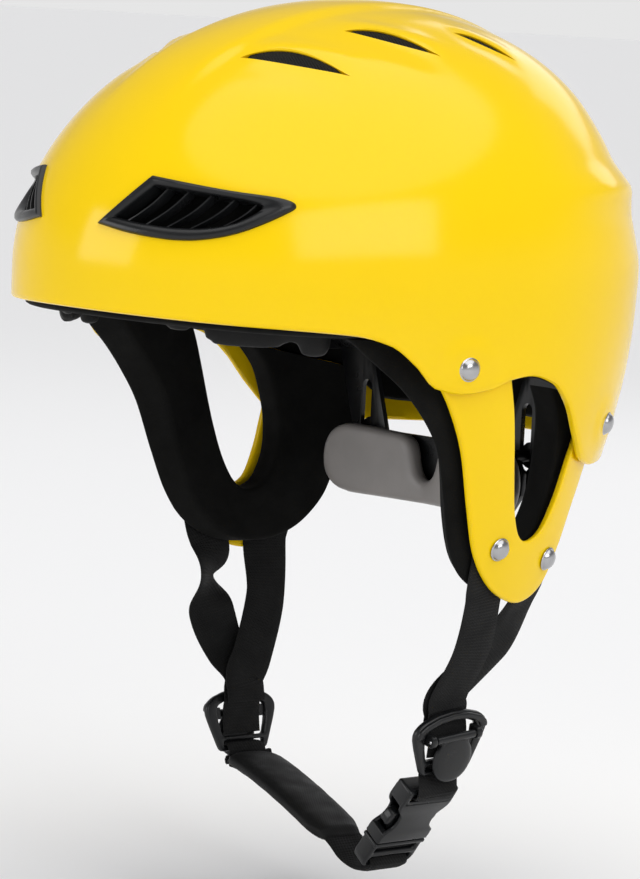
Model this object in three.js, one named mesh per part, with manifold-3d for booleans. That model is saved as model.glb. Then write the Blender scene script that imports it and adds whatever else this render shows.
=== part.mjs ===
// Water helmet: a thermoplastic shell with riveted ear guards, foam liner, hung rear cradle
// and a four-point chin harness. Millimetres, +Z up, the front of the helmet towards -Y and
// the wearer's left side towards +X. The origin is on the crown of the wearer's head.
import * as THREE from 'three';
import { mergeVertices } from 'three/addons/utils/BufferGeometryUtils.js';
import Module from 'manifold-3d';

const wasm = await Module();
wasm.setup();
const { Manifold, Mesh: ManifoldMesh } = wasm;

// ---- Driving dimensions -------------------------------------------------------------------
const EQUATOR_Z = -84;          // widest level of the shell, below the crown of the head
const HALF_WIDTH = 110;
const FRONT_LENGTH = 148;       // equator centre to the forehead
const REAR_LENGTH = 125;
const DOME_HEIGHT = 108;        // equator to the top of the shell
const FRONT_ROUNDNESS = 1.95;   // exponents of the dome's section, front and rear
const REAR_ROUNDNESS = 2.2;
const SIDE_TAPER = 0.115;       // inward share at 100 mm below the equator
const FRONT_TAPER = 0.06;
const REAR_TAPER = 0.25;
const SKIRT_DEPTH = 68;         // the rear stops tapering here

const SHELL_THICKNESS = 3;
const GAP = 0.5;
const GUARD_GAP = 0.8;
const MESH_SPACE = 2.5;         // between shell and liner, for the crown mesh
const LINER_THICKNESS = 11;
const GUARD_THICKNESS = 3;
const STRAP_POCKET = 3;         // between ear guard and ear foam
const EAR_FOAM_THICKNESS = 13;

const LINER_INSET = SHELL_THICKNESS + MESH_SPACE;
const LINER_INNER = LINER_INSET + LINER_THICKNESS;
const GUARD_INSET = SHELL_THICKNESS + GUARD_GAP;
const GUARD_INNER = GUARD_INSET + GUARD_THICKNESS;
const FOAM_INSET = GUARD_INNER + STRAP_POCKET;
const FOAM_INNER = FOAM_INSET + EAR_FOAM_THICKNESS;
const STRAP_INSET = GUARD_INNER + STRAP_POCKET / 2 + 0.5;

const WEBBING_WIDTH = 20;
const WEBBING_THICKNESS = 1.4;
const RIVET_HEAD_RADIUS = 4.8;
const RIVET_SHANK_RADIUS = 2;
const RIVET_HOLE_RADIUS = 2.5;

// ---- Materials ----------------------------------------------------------------------------
function material(color, roughness, metalness = 0) {
  return () => new THREE.MeshStandardMaterial({ color, roughness, metalness });
}
const yellowPlastic = material(0xf7c80a, 0.25);
const blackPlastic = material(0x17181a, 0.45);
const greyRubber = material(0x5d5a59, 0.6);
const blackFoam = material(0x141414, 0.9);
const blackMesh = material(0x101010, 0.8);
const blackWebbing = material(0x121214, 0.85);
const blackFabric = material(0x191a1c, 0.8);
const steel = material(0xb9bcc2, 0.25, 1);

const helmet = new THREE.Group();

function add(name, geometry, makeMaterial) {
  const mesh = new THREE.Mesh(geometry, makeMaterial());
  mesh.name = name;
  helmet.add(mesh);
}

function addPair(name, geometry, makeMaterial) {
  add(`${name}_left`, geometry, makeMaterial);
  add(`${name}_right`, mirrored(geometry), makeMaterial);
}

// ---- Geometry helpers ---------------------------------------------------------------------
function merged(geometry) {
  const bare = geometry.index ? geometry : geometry.clone();
  bare.deleteAttribute('normal');
  bare.deleteAttribute('uv');
  return dropFlatTriangles(mergeVertices(bare, 1e-4));
}

function fromTriangles(points, triangles) {
  const geometry = new THREE.BufferGeometry();
  geometry.setAttribute('position', new THREE.Float32BufferAttribute(points.flat(), 3));
  geometry.setIndex(triangles.flat());
  return mergeVertices(geometry, 1e-4);
}

function toManifold(geometry) {
  const clean = merged(geometry);
  return new Manifold(new ManifoldMesh({
    numProp: 3,
    vertProperties: new Float32Array(clean.attributes.position.array),
    triVerts: new Uint32Array(clean.index.array),
  }));
}

function fromManifold(solid) {
  const result = solid.getMesh();
  const geometry = new THREE.BufferGeometry();
  geometry.setAttribute('position', new THREE.BufferAttribute(result.vertProperties, 3));
  geometry.setIndex(new THREE.BufferAttribute(result.triVerts, 1));
  return geometry;
}

function cut(geometry, ...tools) {
  let solid = toManifold(geometry);
  for (const tool of tools) {
    solid = solid.subtract(toManifold(tool));
  }
  return fromManifold(solid);
}

function join(...geometries) {
  let solid = toManifold(geometries[0]);
  for (const geometry of geometries.slice(1)) {
    solid = solid.add(toManifold(geometry));
  }
  return fromManifold(solid);
}

function mirrored(geometry) {
  const copy = geometry.clone();
  copy.scale(-1, 1, 1);
  const index = Array.from(copy.index.array);
  for (let i = 0; i < index.length; i += 3) {
    [index[i + 1], index[i + 2]] = [index[i + 2], index[i + 1]];
  }
  copy.setIndex(index);
  return copy;
}

// A closed solid between two grids of points of the same size: rows x columns.
// wrap joins the last column to the first, and tip closes the last row into one point.
function slab(outer, inner, { wrap = false, tip = false } = {}) {
  const rows = outer.length;
  const columns = outer[0].length;
  const points = [...outer.flat(), ...inner.flat()];
  const at = (side, r, c) => side * rows * columns + r * columns + (c % columns);
  const triangles = [];
  const quad = (a, b, c, d) => triangles.push([a, b, c], [a, c, d]);
  const lastColumn = wrap ? columns : columns - 1;
  for (let r = 0; r < rows - 1; r++) {
    for (let c = 0; c < lastColumn; c++) {
      quad(at(0, r, c), at(0, r, c + 1), at(0, r + 1, c + 1), at(0, r + 1, c));
      quad(at(1, r, c), at(1, r + 1, c), at(1, r + 1, c + 1), at(1, r, c + 1));
    }
  }
  for (let c = 0; c < lastColumn; c++) {
    quad(at(0, 0, c), at(1, 0, c), at(1, 0, c + 1), at(0, 0, c + 1));
    if (!tip) {
      const top = rows - 1;
      quad(at(0, top, c), at(0, top, c + 1), at(1, top, c + 1), at(1, top, c));
    }
  }
  if (!wrap) {
    const end = columns - 1;
    for (let r = 0; r < rows - 1; r++) {
      quad(at(0, r, 0), at(0, r + 1, 0), at(1, r + 1, 0), at(1, r, 0));
      quad(at(0, r, end), at(1, r, end), at(1, r + 1, end), at(0, r + 1, end));
    }
  }
  return dropFlatTriangles(fromTriangles(points, triangles));
}

function dropFlatTriangles(geometry) {
  const index = Array.from(geometry.index.array);
  const kept = [];
  for (let i = 0; i < index.length; i += 3) {
    const [a, b, c] = [index[i], index[i + 1], index[i + 2]];
    if (a !== b && b !== c && a !== c) {
      kept.push(a, b, c);
    }
  }
  geometry.setIndex(kept);
  return geometry;
}

// Flat webbing: a rectangle of width x thickness carried along stations {at, across}.
function ribbon(stations, width = WEBBING_WIDTH, thickness = WEBBING_THICKNESS) {
  const path = new THREE.CatmullRomCurve3(stations.map((s) => new THREE.Vector3(...s.at)));
  const turns = new THREE.CatmullRomCurve3(stations.map((s) => new THREE.Vector3(...s.across)));
  const steps = (stations.length - 1) * 3;
  const front = [];
  const back = [];
  for (let i = 0; i <= steps; i++) {
    const t = i / steps;
    const centre = path.getPoint(t);
    const along = path.getTangent(t);
    const across = turns.getPoint(t);
    across.addScaledVector(along, -across.dot(along)).normalize();
    const normal = new THREE.Vector3().crossVectors(along, across).normalize();
    const row = (side) => [-0.5, 0.5].map((u) => centre.clone()
      .addScaledVector(across, u * width)
      .addScaledVector(normal, side * thickness / 2)
      .toArray());
    front.push(row(1));
    back.push(row(-1));
  }
  return slab(back, front);
}

function boxAt(size, centre) {
  return new THREE.BoxGeometry(...size).translate(...centre);
}

// A cylinder of one radius about an axis through a point.
function rod(radius, length, centre, axis, sides = 16) {
  const turn = new THREE.Quaternion().setFromUnitVectors(
    new THREE.Vector3(0, 1, 0), new THREE.Vector3(...axis).normalize());
  const geometry = new THREE.CylinderGeometry(radius, radius, length, sides);
  geometry.applyQuaternion(turn);
  return geometry.translate(...centre);
}

// ---- The shell's surface ------------------------------------------------------------------
// inset is the distance inside the outer surface. height runs from the equator, up or down.
function taper(height, share) {
  return 1 - share * (height / 100) ** 2;
}

function lengthTaper(front, height) {
  return front ? taper(height, FRONT_TAPER) : taper(Math.max(height, -SKIRT_DEPTH), REAR_TAPER);
}

function skin(theta, height, inset = 0) {
  const [s, c] = [Math.sin(theta), Math.cos(theta)];
  const length = (c > 0 ? FRONT_LENGTH : REAR_LENGTH) - inset;
  const radius = 1 / Math.hypot(s / (HALF_WIDTH - inset), c / length);
  if (height >= 0) {
    const power = FRONT_ROUNDNESS + (REAR_ROUNDNESS - FRONT_ROUNDNESS) * (1 - c) / 2;
    const share = Math.min(height / DOME_HEIGHT, 1);
    const r = radius * (1 - share ** power) ** (1 / power);
    return [r * s, -r * c, EQUATOR_Z + share * (DOME_HEIGHT - inset)];
  }
  const [x, y] = [radius * s * taper(height, SIDE_TAPER), -radius * c * lengthTaper(c > 0, height)];
  return [x, y, EQUATOR_Z + height];
}

// The same surface on the left side, from its distance back and its height below the equator.
function side(y, height, inset = 0) {
  const length = ((y < 0 ? FRONT_LENGTH : REAR_LENGTH) - inset) * lengthTaper(y < 0, height);
  const x = (HALF_WIDTH - inset) * Math.sqrt(1 - (y / length) ** 2) * taper(height, SIDE_TAPER);
  return [x, y, EQUATOR_Z + height];
}

function normalAt(surface, u, v) {
  const centre = new THREE.Vector3(...surface(u, v));
  const du = new THREE.Vector3(...surface(u + 1, v)).sub(centre);
  const dv = new THREE.Vector3(...surface(u, v + 1)).sub(centre);
  return new THREE.Vector3().crossVectors(du, dv).normalize();
}

const degrees = THREE.MathUtils.degToRad;

// Height of an edge at an angle from the front. The profile lists [angle, height] on one side.
function edgeHeight(profile, theta) {
  const wrapped = Math.abs(Math.atan2(Math.sin(theta), Math.cos(theta)));
  const angle = THREE.MathUtils.radToDeg(wrapped);
  let i = 0;
  while (i < profile.length - 2 && angle > profile[i + 1][0]) {
    i++;
  }
  const [a0, h0] = profile[i];
  const [a1, h1] = profile[i + 1];
  const t = THREE.MathUtils.clamp((angle - a0) / (a1 - a0), 0, 1);
  const smooth = t * t * (3 - 2 * t);
  return h0 + (h1 - h0) * (0.5 * t + 0.5 * smooth);
}

const SHELL_EDGE = [
  [0, -11.5], [30, -13.5], [50, -15.5], [57, -19], [62, -26], [67, -35], [73, -37], [80, -35.5],
  [85, -32], [91, -30.4], [98, -33.5], [104, -42], [110, -55], [117, -66], [126, -69], [180, -66],
];
const LINER_EDGE = [
  [0, -14], [46, -16.5], [60, -15], [85, -15], [90, -30], [100, -31.5], [110, -33], [120, -35],
  [132, -42], [146, -58], [180, -59],
];

// Columns round the dome, as [from, to, step] in degrees: closer together at the sides.
const COLUMN_SPANS = [[-50, 50, 10], [50, 140, 5], [140, 220, 10], [220, 310, 5]];
function columnAngles() {
  const angles = [];
  for (const [from, to, step] of COLUMN_SPANS) {
    for (let angle = from; angle < to; angle += step) {
      angles.push(degrees(angle));
    }
  }
  return angles;
}

const RISE_STEPS = 8;
const DROP_STEPS = 2;
const JUST_BELOW = 1e-6;
function domeGrid(edge, inset) {
  const columns = columnAngles();
  const rows = [];
  for (let r = 0; r < DROP_STEPS; r++) {
    const share = 1 - r / DROP_STEPS;
    rows.push(columns.map((theta) => skin(theta, edgeHeight(edge, theta) * share - JUST_BELOW, inset)));
  }
  for (let r = 0; r <= RISE_STEPS; r++) {
    const height = DOME_HEIGHT * Math.sin(Math.PI / 2 * r / RISE_STEPS);
    rows.push(columns.map((theta) => skin(theta, height, inset)));
  }
  return rows;
}

function domeShell(edge, outerInset, innerInset) {
  return slab(domeGrid(edge, outerInset), domeGrid(edge, innerInset), { wrap: true, tip: true });
}

// A block through the shell, from a flat outline whose points are [u, v] on a surface.
function block(outline, surface, outerInset, innerInset) {
  const count = outline.length;
  const ring = (inset) => outline.map(([u, v]) => surface(u, v, inset));
  const points = [...ring(outerInset), ...ring(innerInset)];
  const flat = outline.map(([u, v]) => new THREE.Vector2(u, v));
  const caps = THREE.ShapeUtils.triangulateShape(flat, []);
  const turned = THREE.ShapeUtils.isClockWise(flat);
  const triangles = [];
  for (const [a, b, c] of caps) {
    triangles.push([a, b, c], [count + a, count + c, count + b]);
  }
  for (let i = 0; i < count; i++) {
    const j = (i + 1) % count;
    const wall = [[i, count + i, count + j], [i, count + j, j]];
    triangles.push(...wall.map(([a, b, c]) => (turned ? [a, c, b] : [a, b, c])));
  }
  return fromTriangles(points, triangles);
}

// ---- Crown slots and front vents ----------------------------------------------------------
// Each crown slot is a lens between two points [x, y] of the plan view, on the left side.
const CROWN_SLOTS = [
  { from: [25, -84], to: [59, -59], bulge: 6 },
  { from: [37, -42], to: [63, -14], bulge: 5.5 },
  { from: [45, 2], to: [62, 28], bulge: 5 },
];
const SLOT_ARC_STEPS = 6;

function slotOutline({ from, to, bulge }) {
  const [dx, dy] = [to[0] - from[0], to[1] - from[1]];
  const long = Math.hypot(dx, dy);
  const outline = [];
  for (const sideSign of [-1, 1]) {
    for (let i = 0; i < SLOT_ARC_STEPS; i++) {
      const t = sideSign < 0 ? i / SLOT_ARC_STEPS : 1 - i / SLOT_ARC_STEPS;
      const bow = sideSign * bulge * Math.sin(Math.PI * t) ** 0.8;
      outline.push([from[0] + dx * t - dy / long * bow, from[1] + dy * t + dx / long * bow]);
    }
  }
  return outline;
}

// A slot runs straight up through the dome, so its block is a vertical prism.
const SLOT_TOOL = { low: EQUATOR_Z + 40, depth: 80 };
function slotTool(slot) {
  const shape = new THREE.Shape(slotOutline(slot).map(([x, y]) => new THREE.Vector2(x, y)));
  const prism = new THREE.ExtrudeGeometry(shape, { depth: SLOT_TOOL.depth, bevelEnabled: false });
  return prism.translate(0, 0, SLOT_TOOL.low);
}

// The front vent's outline on the left side, as [angle, height].
const VENT_OUTLINE = [
  [6.6, 19.3], [9.8, 29], [14, 39], [21, 39.2], [27, 37.8], [33, 34.8], [38.4, 30.5], [35, 23.5],
  [31, 17.9], [23, 16.5], [15, 17.2],
];
const VENT_GAP = 1;
const TOOL_MARGIN = 3;          // a cutting tool stands out of what it cuts by this much
const VENT_POCKET_GAP = 0.6;    // round the vent, in the liner
const VENT_RIM_WIDTH = 3.4;
const VENT_PROUD = 1.6;         // the rim stands out from the shell
const VENT_DEPTH = 7;
const MM_PER_DEGREE = 2.35;     // along the shell at the vent's height

// The ribs lean with the vent's rear edge. Angles are in degrees, heights in mm.
const VENT_RIBS = {
  count: 5, start: 10.5, pitch: 4, lean: 3.2, halfWidth: 0.75 / MM_PER_DEGREE, low: 20, high: 37.2,
  fullHeight: 3, drop: 2.1, proud: 0.2, shallower: 1,
};

// Moves a closed outline inwards by a distance, or outwards if it is negative.
function insetOutline(points, distance) {
  const turn = Math.sign(THREE.ShapeUtils.area(points));
  return points.map((point, i) => {
    const before = points[(i + points.length - 1) % points.length];
    const after = points[(i + 1) % points.length];
    const [n1, n2] = [[before, point], [point, after]].map(([p, q]) => {
      const along = q.clone().sub(p).normalize();
      return new THREE.Vector2(-along.y, along.x).multiplyScalar(turn);
    });
    return point.clone().addScaledVector(n1.clone().add(n2), distance / (1 + n1.dot(n2)));
  });
}

function ventRing(shrink) {
  const flat = VENT_OUTLINE.map(([u, v]) => new THREE.Vector2(u * MM_PER_DEGREE, v));
  return insetOutline(flat, shrink).map((p) => [degrees(p.x / MM_PER_DEGREE), p.y]);
}

function ventRib(i) {
  const { start, pitch, lean, halfWidth, low, fullHeight, drop } = VENT_RIBS;
  const middle = start + i * pitch;
  const high = VENT_RIBS.high - Math.max(0, i - fullHeight) * drop;
  return block([
    [degrees(middle - halfWidth - lean), low], [degrees(middle + halfWidth - lean), low],
    [degrees(middle + halfWidth + lean), high], [degrees(middle - halfWidth + lean), high],
  ], skin, -VENT_RIBS.proud, VENT_DEPTH - VENT_RIBS.shallower);
}

function ventInsert() {
  const frame = cut(
    block(ventRing(VENT_GAP), skin, -VENT_PROUD, VENT_DEPTH),
    block(ventRing(VENT_GAP + VENT_RIM_WIDTH), skin, -VENT_PROUD - TOOL_MARGIN,
      VENT_DEPTH + TOOL_MARGIN));
  const ribs = Array.from({ length: VENT_RIBS.count }, (_, i) => ventRib(i + 1));
  return join(frame, ...ribs);
}

// ---- Rivets -------------------------------------------------------------------------------
const RIVET_HEAD = { seat: 0.4, skirt: 0.9, rise: 1.7, steps: 3, sides: 12 };
const RIVET_HOLE = { length: 30, sides: 10 };
const RIVETS = {
  shell_front: { y: -31, height: -28.8, seat: 0, reach: GUARD_INNER + 0.6 },
  shell_rear: { y: 62.5, height: -53.6, seat: 0, reach: GUARD_INNER + 0.6 },
  guard_front: { y: 3.4, height: -101.3, seat: GUARD_INSET, reach: FOAM_INSET - 1.2 },
  guard_rear: { y: 37, height: -107.5, seat: GUARD_INSET, reach: FOAM_INSET - 1.2 },
};

function rivetFrame({ y, height, seat }) {
  const normal = normalAt((u, v) => side(u, v, seat), y, height);
  return { centre: new THREE.Vector3(...side(y, height, seat)), normal };
}

function rivet(place) {
  const { centre, normal } = rivetFrame(place);
  const reach = place.reach - place.seat;
  const { seat, skirt, rise, steps, sides } = RIVET_HEAD;
  const dome = [];
  for (let i = 0; i <= steps; i++) {
    const a = Math.PI / 2 * i / steps;
    dome.push([i < steps ? RIVET_HEAD_RADIUS * Math.cos(a) : 0, skirt + rise * Math.sin(a)]);
  }
  const profile = [
    [0, -reach], [RIVET_SHANK_RADIUS, -reach], [RIVET_SHANK_RADIUS, seat], [RIVET_HEAD_RADIUS, seat],
    ...dome,
  ].map(([r, height]) => new THREE.Vector2(r, height));
  const geometry = merged(new THREE.LatheGeometry(profile, sides));
  const turn = new THREE.Quaternion().setFromUnitVectors(new THREE.Vector3(0, 1, 0), normal);
  geometry.applyQuaternion(turn);
  return dropFlatTriangles(mergeVertices(geometry.translate(centre.x, centre.y, centre.z), 1e-4));
}

function rivetHole(place) {
  const { centre, normal } = rivetFrame(place);
  return rod(RIVET_HOLE_RADIUS, RIVET_HOLE.length, centre.toArray(), normal.toArray(), RIVET_HOLE.sides);
}

// ---- Shell, liner and pads ----------------------------------------------------------------
const slotTools = CROWN_SLOTS.flatMap((slot) => {
  const tool = slotTool(slot);
  return [tool, mirrored(merged(tool))];
});
const ventTool = block(ventRing(0), skin, -TOOL_MARGIN, VENT_DEPTH + 1);
const shellHoles = ['shell_front', 'shell_rear'].flatMap((name) => {
  const hole = rivetHole(RIVETS[name]);
  return [hole, mirrored(merged(hole))];
});
add('outer_shell', cut(domeShell(SHELL_EDGE, 0, SHELL_THICKNESS),
  ...slotTools, ventTool, mirrored(ventTool), ...shellHoles), yellowPlastic);

const ventPocket = block(ventRing(-VENT_POCKET_GAP), skin, 0, VENT_DEPTH + GAP);
add('foam_liner', cut(domeShell(LINER_EDGE, LINER_INSET, LINER_INNER),
  ...slotTools, ventPocket, mirrored(ventPocket)), blackFoam);

addPair('front_vent', ventInsert(), blackPlastic);

// Fine black mesh stretched under the crown slots, over the liner's own slots.
const CROWN_MESH = { from: -92, pitch: 17, rows: 8, columns: [20, 36, 52, 68], drift: 1.2, still: 3 };
const CROWN_MESH_INSET = SHELL_THICKNESS + 1.1;
const CROWN_MESH_THICKNESS = 0.6;
function crownMesh() {
  const rows = [];
  const inner = [];
  for (let r = 0; r <= CROWN_MESH.rows; r++) {
    const y = CROWN_MESH.from + r * CROWN_MESH.pitch;
    const row = (inset) => CROWN_MESH.columns.map((x) => {
      const spread = x + (r - CROWN_MESH.still) * CROWN_MESH.drift;
      const theta = Math.atan2(spread, -y);
      const length = y < 0 ? FRONT_LENGTH : REAR_LENGTH;
      const power = FRONT_ROUNDNESS + (REAR_ROUNDNESS - FRONT_ROUNDNESS) * (1 - Math.cos(theta)) / 2;
      const share = Math.min(Math.hypot(spread / HALF_WIDTH, y / length), 0.97);
      return skin(theta, DOME_HEIGHT * (1 - share ** power) ** (1 / power), inset);
    });
    rows.push(row(CROWN_MESH_INSET));
    inner.push(row(CROWN_MESH_INSET + CROWN_MESH_THICKNESS));
  }
  return slab(rows, inner);
}
addPair('crown_mesh', crownMesh(), blackMesh);

// The crown comfort pad: flat underneath, at the origin, and domed where it meets the liner.
const CROWN_PAD = { halfWidth: 24, halfLength: 32, top: 6.1, fall: 2.8, sides: 20 };
function crownPad() {
  const top = [];
  const flat = [];
  for (const share of [1, 0.6, 0]) {
    const ring = (height) => Array.from({ length: CROWN_PAD.sides }, (_, i) => {
      const a = 2 * Math.PI * i / CROWN_PAD.sides;
      const x = CROWN_PAD.halfWidth * share * Math.cos(a);
      const y = CROWN_PAD.halfLength * share * Math.sin(a);
      return [x, y, height];
    });
    top.push(ring(CROWN_PAD.top - CROWN_PAD.fall * share ** 2));
    flat.push(ring(0));
  }
  return slab(top, flat, { wrap: true, tip: true });
}
add('crown_pad', crownPad(), blackFabric);

// The front comfort pad follows the liner's inside across the forehead.
const FRONT_PAD = { halfAngle: 46, steps: 12, heights: [-27, -16, -6, 2], gap: 1.4, thickness: 8 };
function frontPad() {
  const outer = [];
  const inner = [];
  for (const height of FRONT_PAD.heights) {
    const row = (inset) => Array.from({ length: FRONT_PAD.steps + 1 }, (_, i) => {
      const a = FRONT_PAD.halfAngle * (2 * i / FRONT_PAD.steps - 1);
      return skin(degrees(a), height, inset);
    });
    outer.push(row(LINER_INNER + FRONT_PAD.gap));
    inner.push(row(LINER_INNER + FRONT_PAD.gap + FRONT_PAD.thickness));
  }
  return slab(outer, inner);
}
add('front_pad', frontPad(), blackFabric);

// ---- Ear guards and ear foam --------------------------------------------------------------
// Both are bands round the ear opening. Outlines are [y, height] from the front top, down
// round the bottom lobe and up to the rear top.
const GUARD_OUTER = [
  [-47, -21], [-40, -34], [-33, -45], [-25, -61], [-17, -84], [-8, -104], [6, -118.5], [24, -125],
  [38, -119], [45, -104], [50, -88], [58, -71], [67, -59], [73, -50],
];
const GUARD_OPENING = [
  [-8, -21], [-5.6, -33], [-1.7, -47], [3.4, -70], [8, -86], [13.5, -96], [20, -99], [28, -95],
  [34, -83], [38, -70], [41, -60], [45, -50], [50, -42],
];
const FOAM_OUTER = [
  [-70, -19], [-56, -26.5], [-43.5, -37.5], [-34, -48.5], [-26.5, -63], [-20.5, -85], [-13.5, -102],
  [-4.5, -113], [8, -119.5], [25, -121], [40, -115], [50.5, -103.5], [56.5, -89.5], [62.5, -74],
  [67, -60], [66, -47],
];
const FOAM_OPENING = [
  [-12, -18.5], [-5.6, -33], [-1.7, -47], [3.4, -70], [8, -86], [13.5, -96], [20, -99], [28, -95],
  [33.5, -84], [35, -72], [34, -60], [31, -48], [24, -38],
];
const BAND_STEPS = 28;
const BAND_ACROSS = 2;

function band(outerEdge, innerEdge, outerInset, innerInset) {
  const spline = (points) => new THREE.SplineCurve(points.map((p) => new THREE.Vector2(...p)));
  const outerLine = spline(outerEdge).getSpacedPoints(BAND_STEPS);
  const innerLine = spline(innerEdge).getSpacedPoints(BAND_STEPS);
  const grid = (inset) => {
    const rows = [];
    for (let r = 0; r <= BAND_ACROSS; r++) {
      const t = r / BAND_ACROSS;
      rows.push(outerLine.map((p, i) => {
        const q = p.clone().lerp(innerLine[i], t);
        return side(q.x, q.y, inset);
      }));
    }
    return rows;
  };
  return slab(grid(outerInset), grid(innerInset));
}

const guard = cut(band(GUARD_OUTER, GUARD_OPENING, GUARD_INSET, GUARD_INNER),
  ...Object.values(RIVETS).map(rivetHole));
addPair('ear_guard', guard, yellowPlastic);
addPair('ear_foam', band(FOAM_OUTER, FOAM_OPENING, FOAM_INSET, FOAM_INNER), blackFoam);

for (const [place, spec] of Object.entries(RIVETS)) {
  addPair(`${place}_rivet`, rivet(spec), steel);
}

// ---- Rear cradle --------------------------------------------------------------------------
// Two slotted arms hang from pins inside the liner and carry a padded rear cradle.
const ARM = {
  y: 59, thickness: 2.4, halfWidth: 10, slotHalfWidth: 3,
  top: [58, EQUATOR_Z - 33], foot: [43, EQUATOR_Z - 80], slot: [48.5, EQUATOR_Z - 75, EQUATOR_Z - 53],
};
const BARREL = { radius: 4.2, hole: 2.6, halfLength: 6.5, pin: 2.2, y: ARM.y - 2.1 };
const ARM_CAP = { size: [60, 10, 20], above: 10.5 };
const PIN = { foot: [24, 13, 12], gap: 1, length: 24, offset: 2 };
const PIN_LINER = { depth: -64, outside: -30 };
const STUD = { radius: 2.4, hole: 2.7, headRadius: 5.5, head: 2, stand: 1.4, z: EQUATOR_Z - 71.5 };
const CRADLE = {
  low: EQUATOR_Z - 95, high: EQUATOR_Z - 70, halfLength: 55, y: 56.6, wrap: 0.0016, thickness: 2.6,
};
const PAD = { low: EQUATOR_Z - 97.5, high: EQUATOR_Z - 67.5, inner: 5, outer: 58, thickness: 8 };
const THROUGH = 40;             // long enough for a hole's tool to pass through any fitting

function roundEnded([x0, z0], [x1, z1], halfWidth, sides = 6) {
  const lean = Math.atan2(x1 - x0, z1 - z0);
  const points = [];
  for (const [x, z, start] of [[x1, z1, 0], [x0, z0, Math.PI]]) {
    for (let i = 0; i <= sides; i++) {
      const a = start + Math.PI * i / sides - lean;
      points.push(new THREE.Vector2(x + halfWidth * Math.cos(a), z + halfWidth * Math.sin(a)));
    }
  }
  return points;
}

// A plate in the XZ plane, standing from y to y + thickness.
function uprightPlate(shape, y, thickness) {
  const geometry = new THREE.ExtrudeGeometry(shape, { depth: thickness, bevelEnabled: false });
  return geometry.rotateX(Math.PI / 2).translate(0, y + thickness, 0);
}

function hangerArm() {
  const shape = new THREE.Shape(roundEnded(ARM.foot, ARM.top, ARM.halfWidth));
  const [slotX, slotLow, slotHigh] = ARM.slot;
  const slot = roundEnded([slotX, slotLow], [slotX, slotHigh], ARM.slotHalfWidth);
  shape.holes.push(new THREE.Path(slot));
  const [pinX, pinZ] = ARM.top;
  const pinAt = [pinX, BARREL.y, pinZ];
  const cap = boxAt(ARM_CAP.size, [pinX, ARM.y, pinZ + ARM_CAP.above]);
  const strip = cut(uprightPlate(shape, ARM.y, ARM.thickness), cap);
  const barrel = rod(BARREL.radius, BARREL.halfLength * 2, pinAt, [1, 0, 0]);
  return cut(join(strip, barrel), rod(BARREL.hole, THROUGH, pinAt, [1, 0, 0]));
}

function hangerPin() {
  const [x, z] = ARM.top;
  const footX = x + ARM.halfWidth + PIN.gap + PIN.foot[0] / 2;
  const foot = boxAt(PIN.foot, [footX, BARREL.y, z]);
  const pin = rod(BARREL.pin, PIN.length, [x + PIN.offset, BARREL.y, z], [1, 0, 0]);
  const edge = [[0, PIN_LINER.depth], [180, PIN_LINER.depth]];
  const liner = domeShell(edge, PIN_LINER.outside, LINER_INNER + GAP);
  return cut(join(foot, pin), liner);
}

function cradleY(x) {
  return CRADLE.y - CRADLE.wrap * x * x;
}

// A plate of the cradle's curve with rounded ends, depth behind or in front of that curve.
function curvedPlate({ from, to, low, high, depth, thickness, steps, corner }) {
  const front = [];
  const back = [];
  const levels = 6;
  for (let r = 0; r <= levels; r++) {
    const rise = r / levels;
    const row = (offset) => Array.from({ length: steps + 1 }, (_, i) => {
      const x = from + (to - from) * i / steps;
      const reach = Math.min(Math.abs(x - from), Math.abs(to - x));
      const inset = corner - Math.sqrt(Math.max(corner ** 2 - Math.max(corner - reach, 0) ** 2, 0));
      return [x, cradleY(x) + offset, low + inset + (high - low - 2 * inset) * rise];
    });
    front.push(row(depth));
    back.push(row(depth + thickness));
  }
  return slab(front, back);
}

function heightStud() {
  const [x] = ARM.slot;
  const front = cradleY(x);
  const back = ARM.y + ARM.thickness + STUD.stand;
  const shank = rod(STUD.radius, back - front, [x, (back + front) / 2, STUD.z], [0, 1, 0]);
  return join(shank, rod(STUD.headRadius, STUD.head, [x, back, STUD.z], [0, 1, 0]));
}

addPair('hanger_pin', hangerPin(), blackPlastic);
addPair('hanger_arm', hangerArm(), blackPlastic);
const studHoles = [-1, 1].map((hand) => rod(
  STUD.hole, THROUGH, [hand * ARM.slot[0], CRADLE.y, STUD.z], [0, 1, 0]));
add('rear_cradle', cut(curvedPlate({
  from: -CRADLE.halfLength, to: CRADLE.halfLength, low: CRADLE.low, high: CRADLE.high,
  depth: 0, thickness: CRADLE.thickness, steps: 16, corner: 8,
}), ...studHoles), blackPlastic);
addPair('height_stud', heightStud(), blackPlastic);
addPair('cradle_pad', curvedPlate({
  from: PAD.inner, to: PAD.outer, low: PAD.low, high: PAD.high,
  depth: -GAP - PAD.thickness, thickness: PAD.thickness, steps: 10, corner: 11,
}), greyRubber);

// ---- Chin harness -------------------------------------------------------------------------
// Fittings are drawn flat: u across the webbing towards the rear, v down along it and w
// square to both. w points to the wearer's right, so out is -1 on the left side.
function placed(geometry, origin, along) {
  const v = new THREE.Vector3(...along).normalize();
  const u = new THREE.Vector3(0, 1, 0).addScaledVector(v, -v.y).normalize();
  const w = new THREE.Vector3().crossVectors(u, v);
  const basis = new THREE.Matrix4().makeBasis(u, v, w).setPosition(...origin);
  return merged(geometry).applyMatrix4(basis);
}

// A plate from its outline [u, v] with holes, from one level of w to another.
function plate(outline, holes, low, high) {
  const toPath = (points) => points.map(([u, v]) => new THREE.Vector2(u, v));
  const shape = new THREE.Shape(toPath(outline));
  shape.holes = holes.map((hole) => new THREE.Path(toPath(hole)));
  const solid = new THREE.ExtrudeGeometry(shape, { depth: high - low, bevelEnabled: false });
  return solid.translate(0, 0, low);
}

function slotHole(halfWidth, from, to) {
  return [[-halfWidth, from], [halfWidth, from], [halfWidth, to], [-halfWidth, to]];
}

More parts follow.
